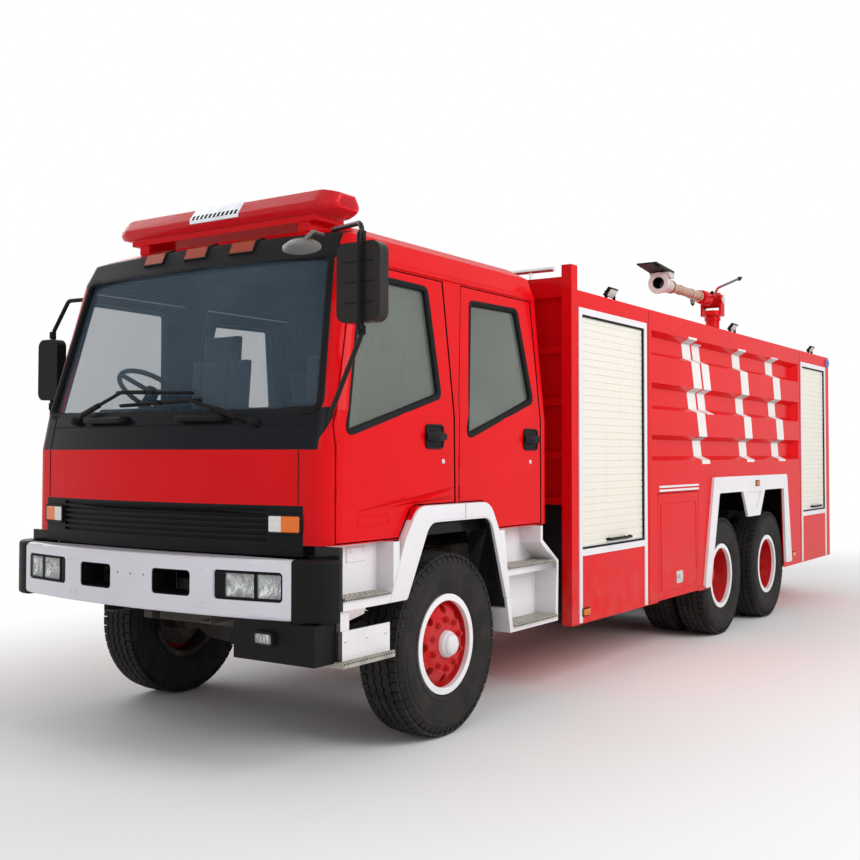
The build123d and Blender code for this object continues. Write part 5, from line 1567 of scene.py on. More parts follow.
@dataclass
class Steps:
    """Gripping teeth, screws, holes, flares, seams and edge strips of the cab steps and the front arches."""

    foot_top: float = 0.575
    # Columns: rear end, front end, inner edge, outer edge, top
    treads: tuple[tuple[float, float, float, float, float], ...] = (
        (0.612, 1.000, 1.085, 1.208, 0.882),
        (0.600, 1.035, 1.100, 1.225, foot_top),
        (-1.225, -0.630, 1.040, 1.212, 0.906),
        (-1.252, -0.696, 1.040, 1.212, 0.544),
    )
    tooth_pitch: float = 0.020
    flare_reach: tuple[float, float] = (1.150, 1.200)
    outer_bend: float = 0.150
    inner_bend: float = 0.120
    flare_outer: tuple[tuple[float, float], ...] = (
        (0.612, 0.820), (0.470, 1.140), (0.345, 1.315), (-0.415, 1.315), (-0.520, 1.140), (-0.660, 0.720),
    )
    flare_inner: tuple[tuple[float, float], ...] = (
        (-0.605, 0.720), (-0.425, 1.228), (0.235, 1.228), (0.455, 0.820),
    )
    # Columns: low corner, high corner
    front_boxes: tuple[tuple[tuple[float, float, float], tuple[float, float, float]], ...] = (
        ((0.520, 1.000, 0.820), (1.030, 1.195, 0.868)),
        ((0.520, 1.000, 0.868), (1.030, 1.085, 1.140)),
        ((0.520, 1.085, 0.868), (0.575, 1.195, 1.136)),
        ((1.005, 1.085, 0.868), (1.030, 1.195, 1.136)),
        ((-1.060, 0.960, 1.136), (-0.560, 1.040, 1.140)),
    )
    foot_boxes: tuple[tuple[tuple[float, float, float], tuple[float, float, float]], ...] = (
        ((0.600, 1.178, 0.575), (1.030, 1.190, 0.720)),
        ((0.930, 1.100, 0.575), (1.030, 1.178, 0.820)),
    )
    rear_back: tuple[tuple[float, float], ...] = (
        (-0.520, 1.136), (-1.080, 1.136), (-1.080, 1.045), (-1.300, 0.895), (-1.290, 0.500), (-0.660, 0.500),
    )
    rear_walls: tuple[tuple[tuple[float, float], ...], ...] = (
        (
            (-0.520, 1.136), (-0.587, 1.136), (-0.625, 0.892), (-0.640, 0.850), (-0.690, 0.530),
            (-0.690, 0.500), (-0.660, 0.500),
        ),
        (
            (-1.080, 1.136), (-1.080, 1.045), (-1.300, 0.895), (-1.290, 0.500), (-1.258, 0.500),
            (-1.258, 0.530), (-1.262, 0.850), (-1.255, 0.892), (-1.050, 1.030), (-1.050, 1.136),
        ),
        ((-0.625, 0.892), (-1.255, 0.892), (-1.262, 0.850), (-0.640, 0.850)),
        ((-0.690, 0.530), (-1.258, 0.530), (-1.258, 0.500), (-0.690, 0.500)),
    )
    plate_screws: tuple[tuple[float, float], ...] = ((0.640, 0.672), (0.800, 0.672), (0.975, 0.672))

    def flares(self) -> None:
        """Arch flares with well rounded corners, the steps joined to them and the red corners behind."""
        near, far = self.flare_reach
        outer = vec((x, near, z) for x, z in self.flare_outer)
        inner = vec((x, near, z) for x, z in self.flare_inner)
        band = [*rounded(outer, self.outer_bend, steps=10), *rounded(inner, self.inner_bend, steps=10)]
        white = Shape().prism(band, LEFT * (far - near), 0.006)
        white.prism(vec((x, 0.960, z) for x, z in self.rear_back), LEFT * 0.080)
        for wall in self.rear_walls:
            white.prism(vec((x, 1.040, z) for x, z in wall), LEFT * 0.155)
        for low, high in self.front_boxes:
            white.box(low, high, 0.0)
        white.mirrored()
        for low, high in self.foot_boxes:
            white.box(low, high, 0.0)
        white.piece("arch_flares", "chassis", FENDER_WHITE, "fenders")
        red = Shape()
        for index in (2, 3):
            corner = outer[index]
            ends = [corner + (outer[index + step] - corner).normalized() * 0.090 for step in (-1, 1)]
            red.prism(rounded([ends[0], corner, ends[1]], 0.024), LEFT * 0.036)
        red.mirrored().piece("arch_corners", "chassis", BODY_RED)

    def teeth(self) -> None:
        """Teeth and black patches of painted shade for holes along the treads' outer edges, and rows of raised studs
        behind them.
        """
        teeth, studs, holes = [], [], []
        for rear, front, inner, outer, top in self.treads:
            count = int((front - rear) / self.tooth_pitch)
            for way in (1,) if top == self.foot_top else (-1, 1):
                for index in range(count):
                    x = rear + (index + 0.5) * (front - rear) / count
                    teeth.append(Spot(Vector((x, way * (outer - 0.004), top - 0.001)), UP))
                    holes.append(Spot(Vector((x, way * outer, top - 0.008)), LEFT * way, AHEAD))
                    if index % 2:
                        for row in (0.3, 0.6):
                            studs.append(Spot(Vector((x, way * (inner + (outer - inner) * row), top)), UP))
        scatter("tread_teeth", teeth, Head.BLOCK, (0.011, 0.008, 0.007), TREAD_METAL, "chassis")
        # Painted shade: thin black patches stand in for the shade inside the holes along the treads' edges.
        scatter("tread_hole_painted_shade", holes, Head.BLOCK, (0.011, 0.008, 0.0005), SEAL_RUBBER, "chassis")
        scatter("tread_studs", studs, Head.ROUND, (0.014, 0.014, 0.004), TREAD_METAL, "chassis")

    def screws(self) -> None:
        """Screws of the foot plates and the small white flaps with theirs."""
        spots = []
        flap = plate(rectangle((0.678, 1.040), (0.839, 1.118)), 0.008, (0.0, 0.006), side_plane(1.085))
        for way in (-1, 1):
            for x, z in self.plate_screws if way > 0 else ():
                spots.append(Spot(Vector((x, way * 1.190, z)), Vector((0, way, 0))))
            for x in (0.705, 0.812):
                spots.append(Spot(Vector((x, way * 1.091, 1.100)), Vector((0, way, 0))))
        flap.mirrored().piece("step_flaps", "chassis", STEP_WHITE)
        scatter("step_screws", spots, Head.DOME, (0.020, 0.020, 0.012), BRUSHED, "chassis")

    def seams(self) -> None:
        """Seam in the flare and the edge strip along the arch."""
        seam = Shape().box((-0.133, 1.2003, 1.2290), (-0.130, 1.2009, 1.3140), 0.0)
        seam.mirrored().piece("arch_seams", "chassis", SEAL_RUBBER)
        line = vec(((0.452, 1.196, 0.83), (0.236, 1.196, 1.224), (-0.424, 1.196, 1.224), (-0.600, 1.196, 0.74)))
        strip = Shape().tube(rounded(line, self.inner_bend, steps=10), 0.005, 8)
        strip.mirrored().piece("arch_edge_strips", "chassis", STEP_WHITE)

    def build(self) -> None:
        """Dress the steps."""
        self.flares()
        self.teeth()
        self.screws()
        self.seams()


@dataclass
class LightBar:
    """Rounded red lens of the light bar, its louvred speaker plate and the reflectors inside."""

    middle: Vector = field(default_factory=lambda: Vector((0.550, 0.0, 2.978)))
    # Columns: distance forward and height from the middle, round the section
    section: tuple[tuple[float, float], ...] = (
        (0.132, -0.064), (0.160, -0.028), (0.160, -0.004), (0.106, 0.070),
        (-0.106, 0.070), (-0.160, -0.004), (-0.160, -0.028), (-0.132, -0.064),
    )
    # Columns: distance to the side, share of the section
    stations: tuple[tuple[float, float], ...] = (
        (0.0, 1.0), (0.400, 1.0), (0.740, 1.0), (0.770, 0.98), (0.820, 0.84), (0.855, 0.70), (0.866, 0.58), (0.869, 0.40),
    )
    speaker_y: tuple[float, float] = (-0.195, 0.195)
    # Columns: distance forward, radius
    cup: tuple[tuple[float, float], ...] = (
        (0.0, 0.012), (0.02, 0.030), (0.05, 0.046), (0.055, 0.046), (0.03, 0.028), (0.01, 0.008)
    )

    def lens(self) -> None:
        """Lens of one rounded section that shrinks towards its ends."""
        ring = rounded([Vector((x, 0, z)) for x, z in self.section], 0.022, closed=True, steps=5)
        full = [(-y, share) for y, share in reversed(self.stations[1:])] + list(self.stations)
        rows = [[self.middle + LEFT * y + point * share for point in ring] for y, share in full]
        Shape().grid(rows, around=True, caps=True).piece("beacon_lens", "chassis", BEACON_LENS, "light_bar_lens")

    def speaker(self) -> None:
        """Plate on the sloping front with a row of slots along its lower edge, drawn as thin black patches of painted
        shade.
        """
        near, far = self.speaker_y
        lower, upper = (self.middle + Vector((x, 0, z)) for x, z in self.section[2:4])
        out = Vector((upper.z - lower.z, 0, lower.x - upper.x)).normalized()
        top_back = upper + Vector((-0.150, 0, 0.001))
        profile = [lower + Vector((0.002, 0, -0.022)), lower + out * 0.004, upper + out * 0.004, top_back + UP * 0.003]
        rows = [[point + LEFT * y for point in profile] for y in (near, far)]
        Shape().slab(rows, out * -0.006).piece("speaker_plate", "chassis", SPEAKER_SILVER)
        slots = []
        for index in range(11):
            place = lower.lerp(upper, 0.14) + LEFT * (near + 0.026 + index * (far - near - 0.052) / 10)
            slots.append(Spot(place + out * 0.0035, out, (upper - lower).normalized()))
        # Painted shade: the slots are thin black patches standing in for the shade inside them.
        scatter("speaker_slot_painted_shade", slots, Head.BLOCK, (0.034, 0.019, 0.001), SEAL_RUBBER, "chassis")

    def build(self) -> None:
        """Build the lens, the speaker and what is inside."""
        self.lens()
        self.speaker()
        cups = Shape()
        for y in (-0.68, -0.50, -0.34, 0.34, 0.52, 0.70):
            cups.lathe(self.cup, self.middle + Vector((0.03, y, 0.007)), AHEAD, 20)
        cups.piece("beacon_reflectors", "chassis", CHROME)


@dataclass
class Mirrors:
    """Mirror glasses, clamps and the small mirror that looks down over the nose."""

    # Columns: distance along the dish's axis, radius
    dish: tuple[tuple[float, float], ...] = (
        (-0.030, 0.020), (-0.024, 0.070), (-0.004, 0.098), (0.006, 0.100), (0.004, 0.092), (0.010, 0.050), (0.012, 0.008),
    )

    def build(self) -> None:
        """Add glasses to both mirrors."""
        left = plate(rectangle((1.238, 2.252), (1.468, 2.608)), 0.030, (0.0, 0.004), end_plane(1.025, -1))
        left.piece("mirror_glass_left", "chassis", MIRROR_GLASS)
        right = plate(rectangle((-1.468, 1.957), (-1.312, 2.313)), 0.030, (0.0, 0.004), end_plane(0.725, -1))
        right.piece("mirror_glass_right", "front_door_right", MIRROR_GLASS)
        ribs = Shape()
        for z in (2.330, 2.430, 2.530):
            ribs.box((1.090, 1.262, z - 0.004), (1.0985, 1.445, z + 0.004), 0.002)
        for z in (2.20, 2.66):
            ribs.lathe(((-0.022, 0.021), (0.022, 0.021)), Vector((1.060, 1.350, z)), UP, 16)
        post = vec(((1.060, 1.350, 2.690), (1.114, 1.372, 2.660), (1.114, 1.372, 2.225), (1.062, 1.352, 2.195)))
        ribs.tube(rounded(post, 0.03), 0.011, 10)
        ribs.piece("mirror_clamps_left", "chassis", BLACK_MOULDING)
        clamps = Shape()
        for z in (1.90, 2.36):
            clamps.lathe(((-0.022, 0.021), (0.022, 0.021)), Vector((0.757, -1.390, z)), UP, 16)
        clamps.piece("mirror_clamps_right", "front_door_right", BLACK_MOULDING)
        arm = vec(((0.845, 0.930, 2.745), (1.000, 0.990, 2.730), (1.070, 0.985, 2.670)))
        near = Shape().tube(rounded(arm, 0.04), 0.010, 10)
        near.lathe(self.dish, Vector((1.080, 0.985, 2.640)), Vector((-0.50, -0.30, -1.0)), 28)
        near.piece("nose_mirror", "chassis", MIRROR_GREY)


@dataclass
class TankBody:
    """Stripes, shutter hardware, markers, seams, hatch latches, lamps and the roof's tread plate."""

    half: float = 1.250
    channels: tuple[tuple[float, float], ...] = ((2.560, 2.370), (2.155, 1.950), (1.750, 1.550))
    channel_depth: float = 0.070
    channel_run: float = 0.035
    # Columns: top x, top z, bottom x, bottom z, width
    stripes: tuple[tuple[float, float, float, float, float], ...] = (
        (-3.536, 2.577, -3.846, 1.517, 0.190),
        (-3.777, 2.540, -3.958, 1.945, 0.175),
        (-4.797, 2.575, -5.032, 1.528, 0.210),
        (-5.790, 2.569, -6.027, 1.533, 0.225),
    )
    # Columns: front, rear, bottom, top of each side shutter, front and rear ends of its handle
    shutters: tuple[tuple[float, float, float, float, float, float], ...] = (
        (-1.535, -2.600, 0.952, 2.555, -1.955, -2.319),
        (-6.855, -7.750, 0.985, 2.550, -7.210, -7.540),
    )
    # Columns: x, z, distance out of the surface it stands on
    markers: tuple[tuple[float, float, float], ...] = ((-1.580, 0.528, 1.258), (-5.257, 1.327, 1.272), (-6.491, 0.561, 1.250))

    light_xs: tuple[float, ...] = (-2.124, -4.795, -7.408)
    # Columns: distance out, height, from the inner lower corner round the section
    light_section: tuple[tuple[float, float], ...] = (
        (1.166, 2.756), (1.188, 2.742), (1.234, 2.802), (1.212, 2.815),
    )
    # Columns: distance out, radius
    corner_lamp: tuple[tuple[float, float], ...] = ((-0.002, 0.052), (0.012, 0.050), (0.022, 0.040), (0.028, 0.018))

    def side_y(self, z: float) -> float:
        """Distance out of the tank's pressed side at a height."""
        for top, bottom in self.channels:
            if bottom < z < top:
                run = min(z - bottom, top - z) / self.channel_run
                return self.half - self.channel_depth * min(run, 1.0)
        return self.half

    def stripe_film(self) -> None:
        """Four slanted white stripes that follow the pressed channels."""
        breaks = {edge for pair in self.channels for edge in pair}
        run = self.channel_run
        breaks |= {edge + shift for pair in self.channels for edge, shift in zip(pair, (-run, run))}
        film = Shape()
        for top_x, top_z, low_x, low_z, width in self.stripes:
            heights = sorted({top_z, low_z} | {z for z in breaks if low_z < z < top_z})
            rows = []
            for z in heights:
                x = low_x + (top_x - low_x) * (z - low_z) / (top_z - low_z)
                y = self.side_y(z) + 0.0006
                rows.append([Vector((x, y, z)), Vector((x - width, y, z))])
            film.slab(rows, Vector((0, 0.0006, 0.0003)))
        film.mirrored().piece("side_stripes", "chassis", STRIPE_WHITE)

    def shutter_parts(self) -> None:
        """Bar handles, bottom rails and the dark runners round the shutters."""
        bars, rails, runners = Shape(), Shape(), Shape()
        for front, rear, low, high, near, far in self.shutters:
            z = low + 0.045
            line = vec(((near, 1.240, z), (near, 1.272, z), (far, 1.272, z), (far, 1.240, z)))
            bars.tube(rounded(line, 0.018), 0.011, 12)
            rails.box((rear + 0.012, 1.228, low + 0.003), (front - 0.012, 1.246, low + 0.024), 0.004)
            for x in (near - 0.014, far + 0.014):
                rails.lathe(((-0.002, 0.024), (0.004, 0.024), (0.008, 0.018)), Vector((x, 1.240, z)), LEFT, 16)
            ring = ((0.0, -0.024), (0.0, 0.0015), (-0.014, 0.0015), (-0.014, -0.024))
            runners.add(frame_ring(rectangle((rear, low), (front, high)), 0.004, ring, side_plane(self.half)))
        line = vec(((-7.950, -0.18, 1.030), (-7.985, -0.18, 1.030), (-7.985, 0.18, 1.030), (-7.950, 0.18, 1.030)))
        bars.mirrored()
        bars.tube(rounded(line, 0.018), 0.011, 12)
        bars.piece("shutter_handles", "chassis", BLACK_MOULDING)
        rails.mirrored().piece("shutter_rails", "chassis", BRUSHED)
        runners.mirrored()
        edge = ((0.0, -0.024), (0.0, 0.0015), (-0.016, 0.0015), (-0.016, -0.024))
        back = frame_ring(rectangle((-0.820, 0.985), (0.820, 2.550)), 0.004, edge, end_plane(-7.960, -1))
        runners.add(back).piece("shutter_runners", "chassis", SEAL_RUBBER)

    def hatch_parts(self) -> None:
        """Latch and pressed edge of each side hatch."""
        place = side_plane(self.half)
        press = ((0.006, -0.001), (0.003, 0.004), (-0.003, 0.004), (-0.006, -0.001))
        for side, way in SIDES.items():
            latch = plate(rectangle((-3.375, 0.560), (-3.245, 0.660)), 0.020, (0.0, 0.006), place)
            latch.box((-3.350, 1.255, 0.600), (-3.270, 1.268, 0.628), 0.005)
            latch.sided(way).piece("hatch_latch_" + side, "side_hatch_" + side, BRUSHED)
            fold = frame_ring(rectangle((-3.690, 0.520), (-2.930, 1.210)), 0.040, press, place).sided(way)
            fold.piece("hatch_pressing_" + side, "side_hatch_" + side, BODY_RED)

    def work_lights(self) -> None:
        """Flat lamps on brackets along the roof's edge, tilted to light the ground."""
        housings, lenses = Shape(), Shape()
        for x in self.light_xs:
            near, run = x - 0.068, Vector((0.136, 0, 0))
            housings.prism([Vector((near, y, z)) for y, z in self.light_section], run, 0.004)
            for edge in (x - 0.070, x + 0.066):
                housings.box((edge, 1.182, 2.7195), (edge + 0.004, 1.206, 2.785), 0.001)
            housings.box((x - 0.070, 1.170, 2.7195), (x + 0.070, 1.214, 2.7240), 0.001)
            low, high = (Vector((near + 0.010, y, z)) for y, z in self.light_section[1:3])
            out = Vector((0, high.z - low.z, low.y - high.y)).normalized() * 0.002
            face = [low.lerp(high, 0.10) + out, low.lerp(high, 0.88) + out]
            lenses.slab([face, [point + Vector((0.116, 0, 0)) for point in face]], out * -2)
        housings.mirrored().piece("work_light_housings", "chassis", BLACK_MOULDING, "work_lights")
        lenses.mirrored().piece("work_light_lenses", "chassis", PALE_LENS)

    def lamps_and_seams(self) -> None:
        """Side markers, corner lamps and the panels' seams."""
        ambers, blues, seams, rims = Shape(), Shape(), Shape(), Shape()
        for x, z, out in self.markers:
            ambers.box((x - 0.048, out - 0.001, z - 0.021), (x + 0.048, out + 0.014, z + 0.021), 0.006)
            rims.box((x - 0.056, out - 0.002, z - 0.028), (x + 0.056, out + 0.005, z + 0.028), 0.004)
        blues.lathe(self.corner_lamp, Vector((-7.880, self.half, 2.650)), LEFT, 24)
        for x in (-2.700, -6.780):
            seams.box((x - 0.002, 1.2495, 0.46), (x + 0.002, 1.2508, 2.700), 0.0)
        ambers.mirrored().piece("side_markers", "chassis", AMBER_LENS)
        rims.mirrored().piece("side_marker_rims", "chassis", SEAL_RUBBER)
        blues.mirrored().piece("corner_blue_lamps", "chassis", BLUE_LENS)
        seams.mirrored().piece("panel_seams", "chassis", SEAL_RUBBER)

    def roof_plate(self) -> None:
        """Studs of the roof's tread plate."""
        spots = []
        for i in range(62):
            for j in range(34):
                x, y = -2.85 - 3.78 * i / 61, -1.03 + 2.06 * j / 33
                slant = 1.0 if (i + j) % 2 else -1.0
                spots.append(Spot(Vector((x, y, 2.7208)), UP, Vector((1.0, slant, 0.0)).normalized()))
        scatter("roof_tread", spots, Head.BLOCK, (0.030, 0.008, 0.0015), BODY_RED, "chassis")

    def rear_end(self) -> None:
        """Lamp segments, blank plate and reflectors on the rear wall; the reflectors take the glowing red lens finish,
        a painted glow.
        """
        segments = (("amber", AMBER_LENS, 1.105, 1.200), ("red", RED_LENS, 0.985, 1.095), ("clear", PALE_LENS, 0.870, 0.975))
        for label, finish, near, far in segments:
            lens = plate(rectangle((near, 0.602), (far, 0.708)), 0.010, (0.0, 0.008), end_plane(-7.985, -1))
            lens.mirrored().piece("tail_lens_" + label, "chassis", finish)
        wall = end_plane(-7.960, -1)
        blank = plate(rectangle((0.500, 0.760), (0.960, 0.880)), 0.008, (0.0, 0.003), wall)
        blank.piece("blank_plate", "chassis", STRIPE_WHITE)
        reflector = plate(rectangle((1.020, 0.800), (1.200, 0.850)), 0.004, (0.0, 0.004), wall)
        # Painted light: the red lens finish glows, and these reflectors are no lamp.
        reflector.mirrored().piece("rear_reflectors_painted_glow", "chassis", RED_LENS)

    def build(self) -> None:
        """Dress the body."""
        self.stripe_film()
        self.shutter_parts()
        self.hatch_parts()
        self.work_lights()
        self.lamps_and_seams()
        self.roof_plate()
        self.rear_end()


@dataclass
class Monitor:
    """Flanges, bands, knobs, valve and bolts of the water monitor."""

    pivot: Vector = field(default_factory=lambda: Vector((-7.620, 0.0, 3.440)))
    nozzle_x: float = -5.950
    valve_x: float = -7.335
    # Columns: place along the barrel, radius
    bands: tuple[tuple[float, float], ...] = ((-7.130, 0.066), (-6.900, 0.058), (-6.560, 0.058), (-6.290, 0.074))
    collar_heights: tuple[float, float] = (2.98, 3.215)
    # Columns of the profiles: distance along the axis, radius
    mouth: tuple[tuple[float, float], ...] = (
        (-0.045, 0.100), (-0.040, 0.110), (0.0, 0.1165), (0.004, 0.112), (0.004, 0.070), (-0.030, 0.063),
    )
    bore: tuple[tuple[float, float], ...] = ((-0.195, 0.0615), (-0.190, 0.0600), (0.003, 0.0600), (0.003, 0.0615))
    valve: tuple[tuple[float, float], ...] = (
        (-0.13, 0.054), (-0.12, 0.078), (-0.05, 0.084), (0.05, 0.084), (0.12, 0.078), (0.13, 0.054),
    )
    cap: tuple[tuple[float, float], ...] = ((0.0, 0.044), (0.010, 0.044), (0.016, 0.036), (0.018, 0.020))

    def _ring(self, centre: Vector, radius: float, count: int, first: float = 0.0) -> list[Vector]:
        """Points on a level circle."""
        angles = [2 * math.pi * (index + first) / count for index in range(count)]
        return [centre + radius * Vector((math.cos(a), math.sin(a), 0.0)) for a in angles]

    def barrel(self) -> None:
        """Bands, mouth with a black painted shade lining its bore, valve with its lever and hand wheel, and knobs on
        the barrel.
        """
        z = self.pivot.z
        bands = Shape()
        for x, radius in self.bands:
            section = ((-0.016, 0.048), (-0.016, radius), (0.016, radius), (0.016, 0.048))
            bands.lathe(section, Vector((x, 0, z)), AHEAD, 32, ring=True)
        bands.piece("barrel_bands", "barrel", COPPER)
        nozzle = Vector((self.nozzle_x, 0, z))
        Shape().lathe(self.mouth, nozzle, AHEAD, 40, ring=True).piece("nozzle_ring", "barrel", STRIPE_WHITE)
        # Painted shade: a black sleeve lines the nozzle's bore, where shade falls inside it.
        Shape().lathe(self.bore, nozzle, AHEAD, 32, ring=True).piece("nozzle_bore_painted_shade", "barrel", SEAL_RUBBER)
        x = self.valve_x
        valve = Shape().lathe(self.valve, Vector((x, 0, z)), AHEAD, 32)
        valve.tube(vec(((x, 0.05, z), (x, 0.135, z + 0.01), (x + 0.135, 0.150, z + 0.03))), 0.012, 10)
        valve.tube(vec(((x, -0.05, z), (x, -0.125, z - 0.02))), 0.018, 10)
        valve.piece("barrel_valve", "barrel", BODY_RED)
        knobs = Shape()
        for place, radius in (((-7.912, 0.230, 3.722), 0.026), ((x + 0.145, 0.150, z + 0.032), 0.022)):
            angles = (-1.45, -1.0, -0.5, 0.0, 0.5, 1.0, 1.45)
            profile = [(radius * math.sin(a), radius * math.cos(a)) for a in angles]
            knobs.lathe(profile, Vector(place), Vector((0.4, -0.3, -0.2)), 18)
        stand = Matrix.Rotation(math.pi / 2, 3, "X")
        wheel = [Vector((x, -0.140, z - 0.02)) + stand @ point for point in self._ring(Vector(), 0.055, 24)]
        knobs.tube(wheel, 0.008, 8, closed=True)
        for start in (0, 6):
            knobs.tube([wheel[start], wheel[start + 12]], 0.006, 8)
        knobs.piece("monitor_knobs", "barrel", BLACK_MOULDING)

    def stand(self) -> None:
        """Bolts, caps and collars of the swivel and the pedestal."""
        foot = Vector((self.pivot.x, 0.0, 0.0))
        flange = [Spot(point, UP) for point in self._ring(foot + UP * 2.745, 0.160, 12)]
        scatter("pedestal_bolts", flange, Head.HEX, (0.024, 0.024, 0.024), BRUSHED, "chassis")
        turn = [Spot(point, UP) for point in self._ring(foot + UP * 3.3103, 0.108, 10, 0.5) if abs(point.y) < 0.085]
        scatter("swivel_bolts", turn, Head.HEX, (0.018, 0.018, 0.016), BRUSHED, "swivel")
        caps = Shape().lathe(self.cap, self.pivot + LEFT * 0.126, LEFT, 24)
        caps.mirrored().piece("trunnion_caps", "swivel", BRUSHED)
        collars = Shape()
        for height in self.collar_heights:
            section = ((-0.018, 0.080), (-0.018, 0.094), (0.018, 0.094), (0.018, 0.080))
            collars.lathe(section, foot + UP * height, UP, 32, ring=True)
        collars.piece("pedestal_collars", "chassis", BODY_RED)

    def build(self) -> None:
        """Dress the whole monitor."""
        self.barrel()
        self.stand()


@dataclass(frozen=True)
class Cushion:
    """A stuffed pad: crowned faces, sides that pull in between the corners, and sewn channels."""

    middle: tuple[float, float, float]
    half: tuple[float, float, float]
    lean: float = 0.0
    channels: tuple[float, ...] = ()
    pull: float = 0.03
    count: int = 36

    def _thickness(self, u: float, v: float) -> float:
        """Half thickness at a place on the pad's face."""
        crown = ((1 - u**6) * (1 - v**6)) ** 0.5
        groove = sum(math.exp(-(((v - place) / 0.05) ** 2)) for place in self.channels)
        return self.half[2] * (0.45 + 0.55 * crown) * (1 - 0.22 * min(groove, 1.0) * crown)

    def shape(self) -> Shape:
        """The pad as one closed skin."""
        turn = Matrix.Translation(self.middle) @ Matrix.Rotation(self.lean, 4, "Y")
        values = [-math.cos(math.pi * i / self.count) for i in range(self.count + 1)]
        rows = []
        for u in values:
            loop = []
            for way in (1, -1):
                for v in values if way > 0 else reversed(values):
                    x = self.half[0] * u * (1 - self.pull * (1 - v * v))
                    y = self.half[1] * v * (1 - self.pull * (1 - u * u))
                    loop.append(turn @ Vector((x, y, way * self._thickness(u, v))))
            rows.append(loop)
        return Shape().grid(rows, around=True, caps=True)


@dataclass
class Interior:
    """Padded seats on plinths and the dashboard's instrument hood."""

    # Columns: seat's front, rear, right edge, left edge, sewn channels, whether it has a headrest
    seats: tuple[tuple[float, float, float, float, tuple[float, ...], bool], ...] = (
        (0.480, -0.060, -0.870, -0.370, (-0.5, 0.5), True),
        (0.480, -0.060, 0.130, 0.880, (-0.6, 0.0, 0.6), True),
        (-0.700, -1.170, -0.980, 0.980, (-0.66, -0.33, 0.0, 0.33, 0.66), False),
    )

    def build(self) -> None:
        """Build the seats and the small pieces round them."""
        plinths = Shape()
        for index, (front, rear, right, left, channels, rest) in enumerate(self.seats):
            y, wide = (left + right) / 2, (left - right) / 2
            plinths.box((rear + 0.060, right + 0.03, 1.200), (front - 0.090, left - 0.03, 1.480), 0.010)
            depth = (front - rear) / 2
            pads = {
                "cushion": Cushion((front - depth + 0.020, y, 1.545), (depth - 0.012, wide - 0.008, 0.078), 0.06, channels),
                "back": Cushion((rear + 0.082, y, 1.905), (0.305, wide - 0.012, 0.058), -math.pi / 2 - 0.07, channels),
            }
            if rest:
                pads["headrest"] = Cushion((rear + 0.055, y, 2.285), (0.085, 0.150, 0.045), -math.pi / 2 - 0.07)
            for label, pad in pads.items():
                piece = pad.shape().piece("seat_" + label + "_" + str(index), "chassis", SEAT_CLOTH, "seats")
        plinths.piece("seat_plinths", "chassis", TRIM_GREY)
        dash = Shape().box((0.700, -0.900, 1.770), (0.790, -0.340, 1.870), 0.020)
        dash.box((0.735, -0.180, 1.560), (0.765, 0.180, 1.760), 0.010)
        dash.piece("instrument_hood", "chassis", TRIM_GREY)


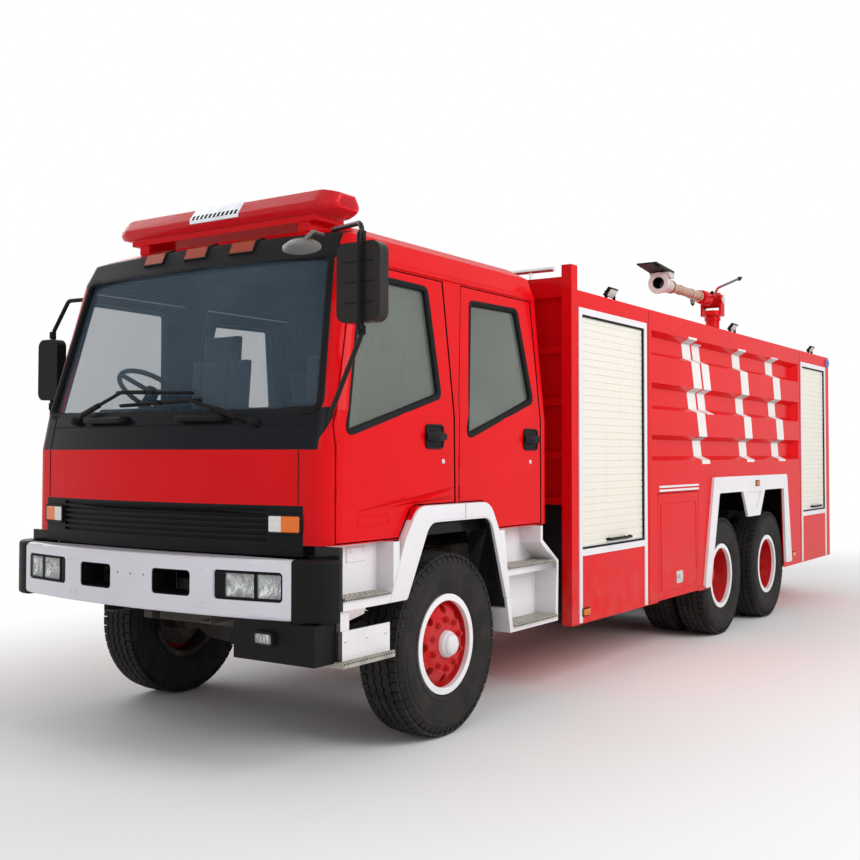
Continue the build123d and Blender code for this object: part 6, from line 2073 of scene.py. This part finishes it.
@dataclass
class Stage:
    """Floor, light and the photograph's camera."""

    lens_mm: float = 46.70
    shift: tuple[float, float] = (0.01208, -0.0121)
    eye: tuple[float, float, float] = (5.3527, 4.6295, 1.5995)
    yaw: float = 0.6002
    pitch: float = 0.0307
    roll: float = 0.0017
    floor_half: float = 60.0
    ambient: float = 0.50

    def camera(self) -> None:
        """Camera at the photograph's place."""
        data = bpy.data.cameras.new("camera")
        data.lens = self.lens_mm
        data.sensor_width = 36.0
        data.shift_x, data.shift_y = self.shift
        data.clip_end = 200.0
        camera = bpy.data.objects.new("camera", data)
        bpy.context.scene.collection.objects.link(camera)
        look = Vector(
            (-math.cos(self.yaw) * math.cos(self.pitch), -math.sin(self.yaw) * math.cos(self.pitch), math.sin(self.pitch))
        )
        level = look.cross(UP).normalized()
        above = level.cross(look)
        right = level * math.cos(self.roll) + above * math.sin(self.roll)
        top = above * math.cos(self.roll) - level * math.sin(self.roll)
        turn = Matrix((right, top, -look)).transposed().to_4x4()
        place = Vector(self.eye) + Vector((FRONT_AXLE, 0, 0))
        camera.matrix_world = Matrix.Translation(place) @ turn
        bpy.context.scene.camera = camera

    def floor(self) -> None:
        """Pale floor that keeps the truck's shadow."""
        half = self.floor_half
        data = bpy.data.meshes.new("floor")
        data.from_pydata([(-half, -half, 0), (half, -half, 0), (half, half, 0), (-half, half, 0)], [], [(0, 1, 2, 3)])
        graph = Graph("pale_floor")
        along = graph.x * 0.42
        far = ((along * along + graph.y * graph.y) ** 0.5).over(3.4, 1.6)
        surface = graph.shade(
            Base_Color=graph.mix((0.93, 0.93, 0.93), (0.0, 0.0, 0.0), far),
            Roughness=0.9,
            Specular_IOR_Level=0.0,
            Emission_Color=graph.mix((0.0, 0.0, 0.0), (1.0, 1.0, 1.0), far),
            Emission_Strength=1.0,
        )
        data.materials.append(surface)
        floor = bpy.data.objects.new("floor", data)
        bpy.context.scene.collection.objects.link(floor)

    def world(self) -> None:
        """White surroundings for the camera and reflections, softer light for the rest."""
        world = bpy.data.worlds.new("studio")
        world.use_nodes = True
        nodes, links = world.node_tree.nodes, world.node_tree.links
        nodes.clear()
        path = nodes.new("ShaderNodeLightPath")
        seen: bpy.types.NodeSocket = path.outputs["Is Camera Ray"]
        for label in ("Is Glossy Ray", "Is Transmission Ray"):
            both = nodes.new("ShaderNodeMath")
            both.operation = "MAXIMUM"
            links.new(seen, both.inputs[0])
            links.new(path.outputs[label], both.inputs[1])
            seen = both.outputs[0]
        strength = nodes.new("ShaderNodeMapRange")
        strength.inputs["To Min"].default_value = self.ambient
        strength.inputs["To Max"].default_value = 1.0
        links.new(seen, strength.inputs["Value"])
        background = nodes.new("ShaderNodeBackground")
        links.new(strength.outputs[0], background.inputs["Strength"])
        background.inputs["Color"].default_value = (1.0, 1.0, 1.0, 1.0)
        output = nodes.new("ShaderNodeOutputWorld")
        links.new(background.outputs[0], output.inputs[0])
        bpy.context.scene.world = world

    def lamps(self) -> None:
        """Large soft lamps: key over the truck's left side, weaker fill on the front and right."""
        rows = (
            ("key", (-1.5, 11.5, 8.0), (-2.0, 0.0, 1.2), 8.0, 900.0),
            ("front", (13.0, 3.0, 6.5), (1.0, 0.0, 1.2), 6.0, 120.0),
            ("far", (-4.0, -11.0, 8.0), (-2.0, 0.0, 1.2), 9.0, 430.0),
        )
        for name, place, aim, size, power in rows:
            data = bpy.data.lights.new(name, "AREA")
            data.size = size
            data.energy = power
            lamp = bpy.data.objects.new(name, data)
            bpy.context.scene.collection.objects.link(lamp)
            direction = Vector(aim) - Vector(place)
            turn = direction.to_track_quat("-Z", "Y").to_matrix().to_4x4()
            lamp.matrix_world = Matrix.Translation(Vector(place) + Vector((FRONT_AXLE, 0, 0))) @ turn

    def build(self) -> None:
        """Set up the whole stage."""
        self.camera()
        self.floor()
        self.world()
        self.lamps()
        bpy.context.scene.view_settings.view_transform = "Standard"


@dataclass
class PackedNodes:
    """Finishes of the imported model's own nodes."""

    nodes: dict[str, bpy.types.Object]

    def plan(self) -> dict[str, Finish]:
        """Which node gets which finish."""
        plan: dict[str, Finish] = {}
        table: tuple[tuple[Finish, str], ...] = (
            (CAB_RED, "cab_shell door_front_left door_front_right door_rear_left door_rear_right"),
            (BODY_RED, "front_panel rear_locker hatch_left hatch_right"),
            (TANK_RED, "tank_body"),
            (BODY_RED, "light_bar_base monitor_base monitor_swivel"),
            (PAINTED_SHADE_RED, "front_locker"),
            (MONITOR_RED, "monitor_barrel"),
            (BUMPER_WHITE, "bumper"),
            (STEP_WHITE, "arch_trims shutter_frames"),
            (FENDER_WHITE, "fenders"),
            (SHUTTER_CREAM, "roller_shutters"),
            (GLOSS_BLACK, "cowl_panel"),
            (BLACK_MOULDING, "roof_visor grille mirror_right bumper_ends work_lights steering_wheel headlamps"),
            (MIRROR_BROWN, "mirror_left"),
            (TRIM_GREY, "dashboard"),
            (CHASSIS_IRON, "frame springs"),
            (RAW_CASTING, "axles knuckle_left knuckle_right drive_line"),
            (WINDSCREEN_GLASS, "windscreen"),
            (SIDE_GLASS, "glass_front_left glass_front_right glass_rear_left glass_rear_right"),
            (TURN_LENS, "amber_lamps"),
            (BEACON_LENS, "light_bar_lens"),
            (RED_LENS, "tail_lamps"),
            (TREAD_METAL, "step_treads"),
            (BRUSHED, "ladder_and_rail"),
            (SEAT_CLOTH, "seats"),
        )
        for finish, names in table:
            plan.update({name: finish for name in names.split()})
        for place, finish in WHEEL_REDS.items():
            for side in SIDES:
                plan["wheel_" + place + "_" + side] = finish
                plan[("tyre_" if place == "front" else "tyres_") + place + "_" + side] = TYRE_BLACK
        return plan

    def build(self) -> None:
        """Give every node its finish."""
        for name, finish in self.plan().items():
            data = self.nodes[name].data
            data.materials.clear()
            data.materials.append(finish.material())


def main() -> None:
    """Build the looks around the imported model, in order."""
    logging.basicConfig(level=logging.INFO, format="%(message)s")
    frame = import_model()
    Stage().build()
    PackedNodes(frame["nodes"]).build()
    for assembly in (
        Tyres(), WheelHardware(), CabFront(), CabDoors(), Bumper(), Steps(), LightBar(), Mirrors(), TankBody(),
        Monitor(), Interior(),
    ):
        assembly.build()


if __name__ == "__main__":
    main()
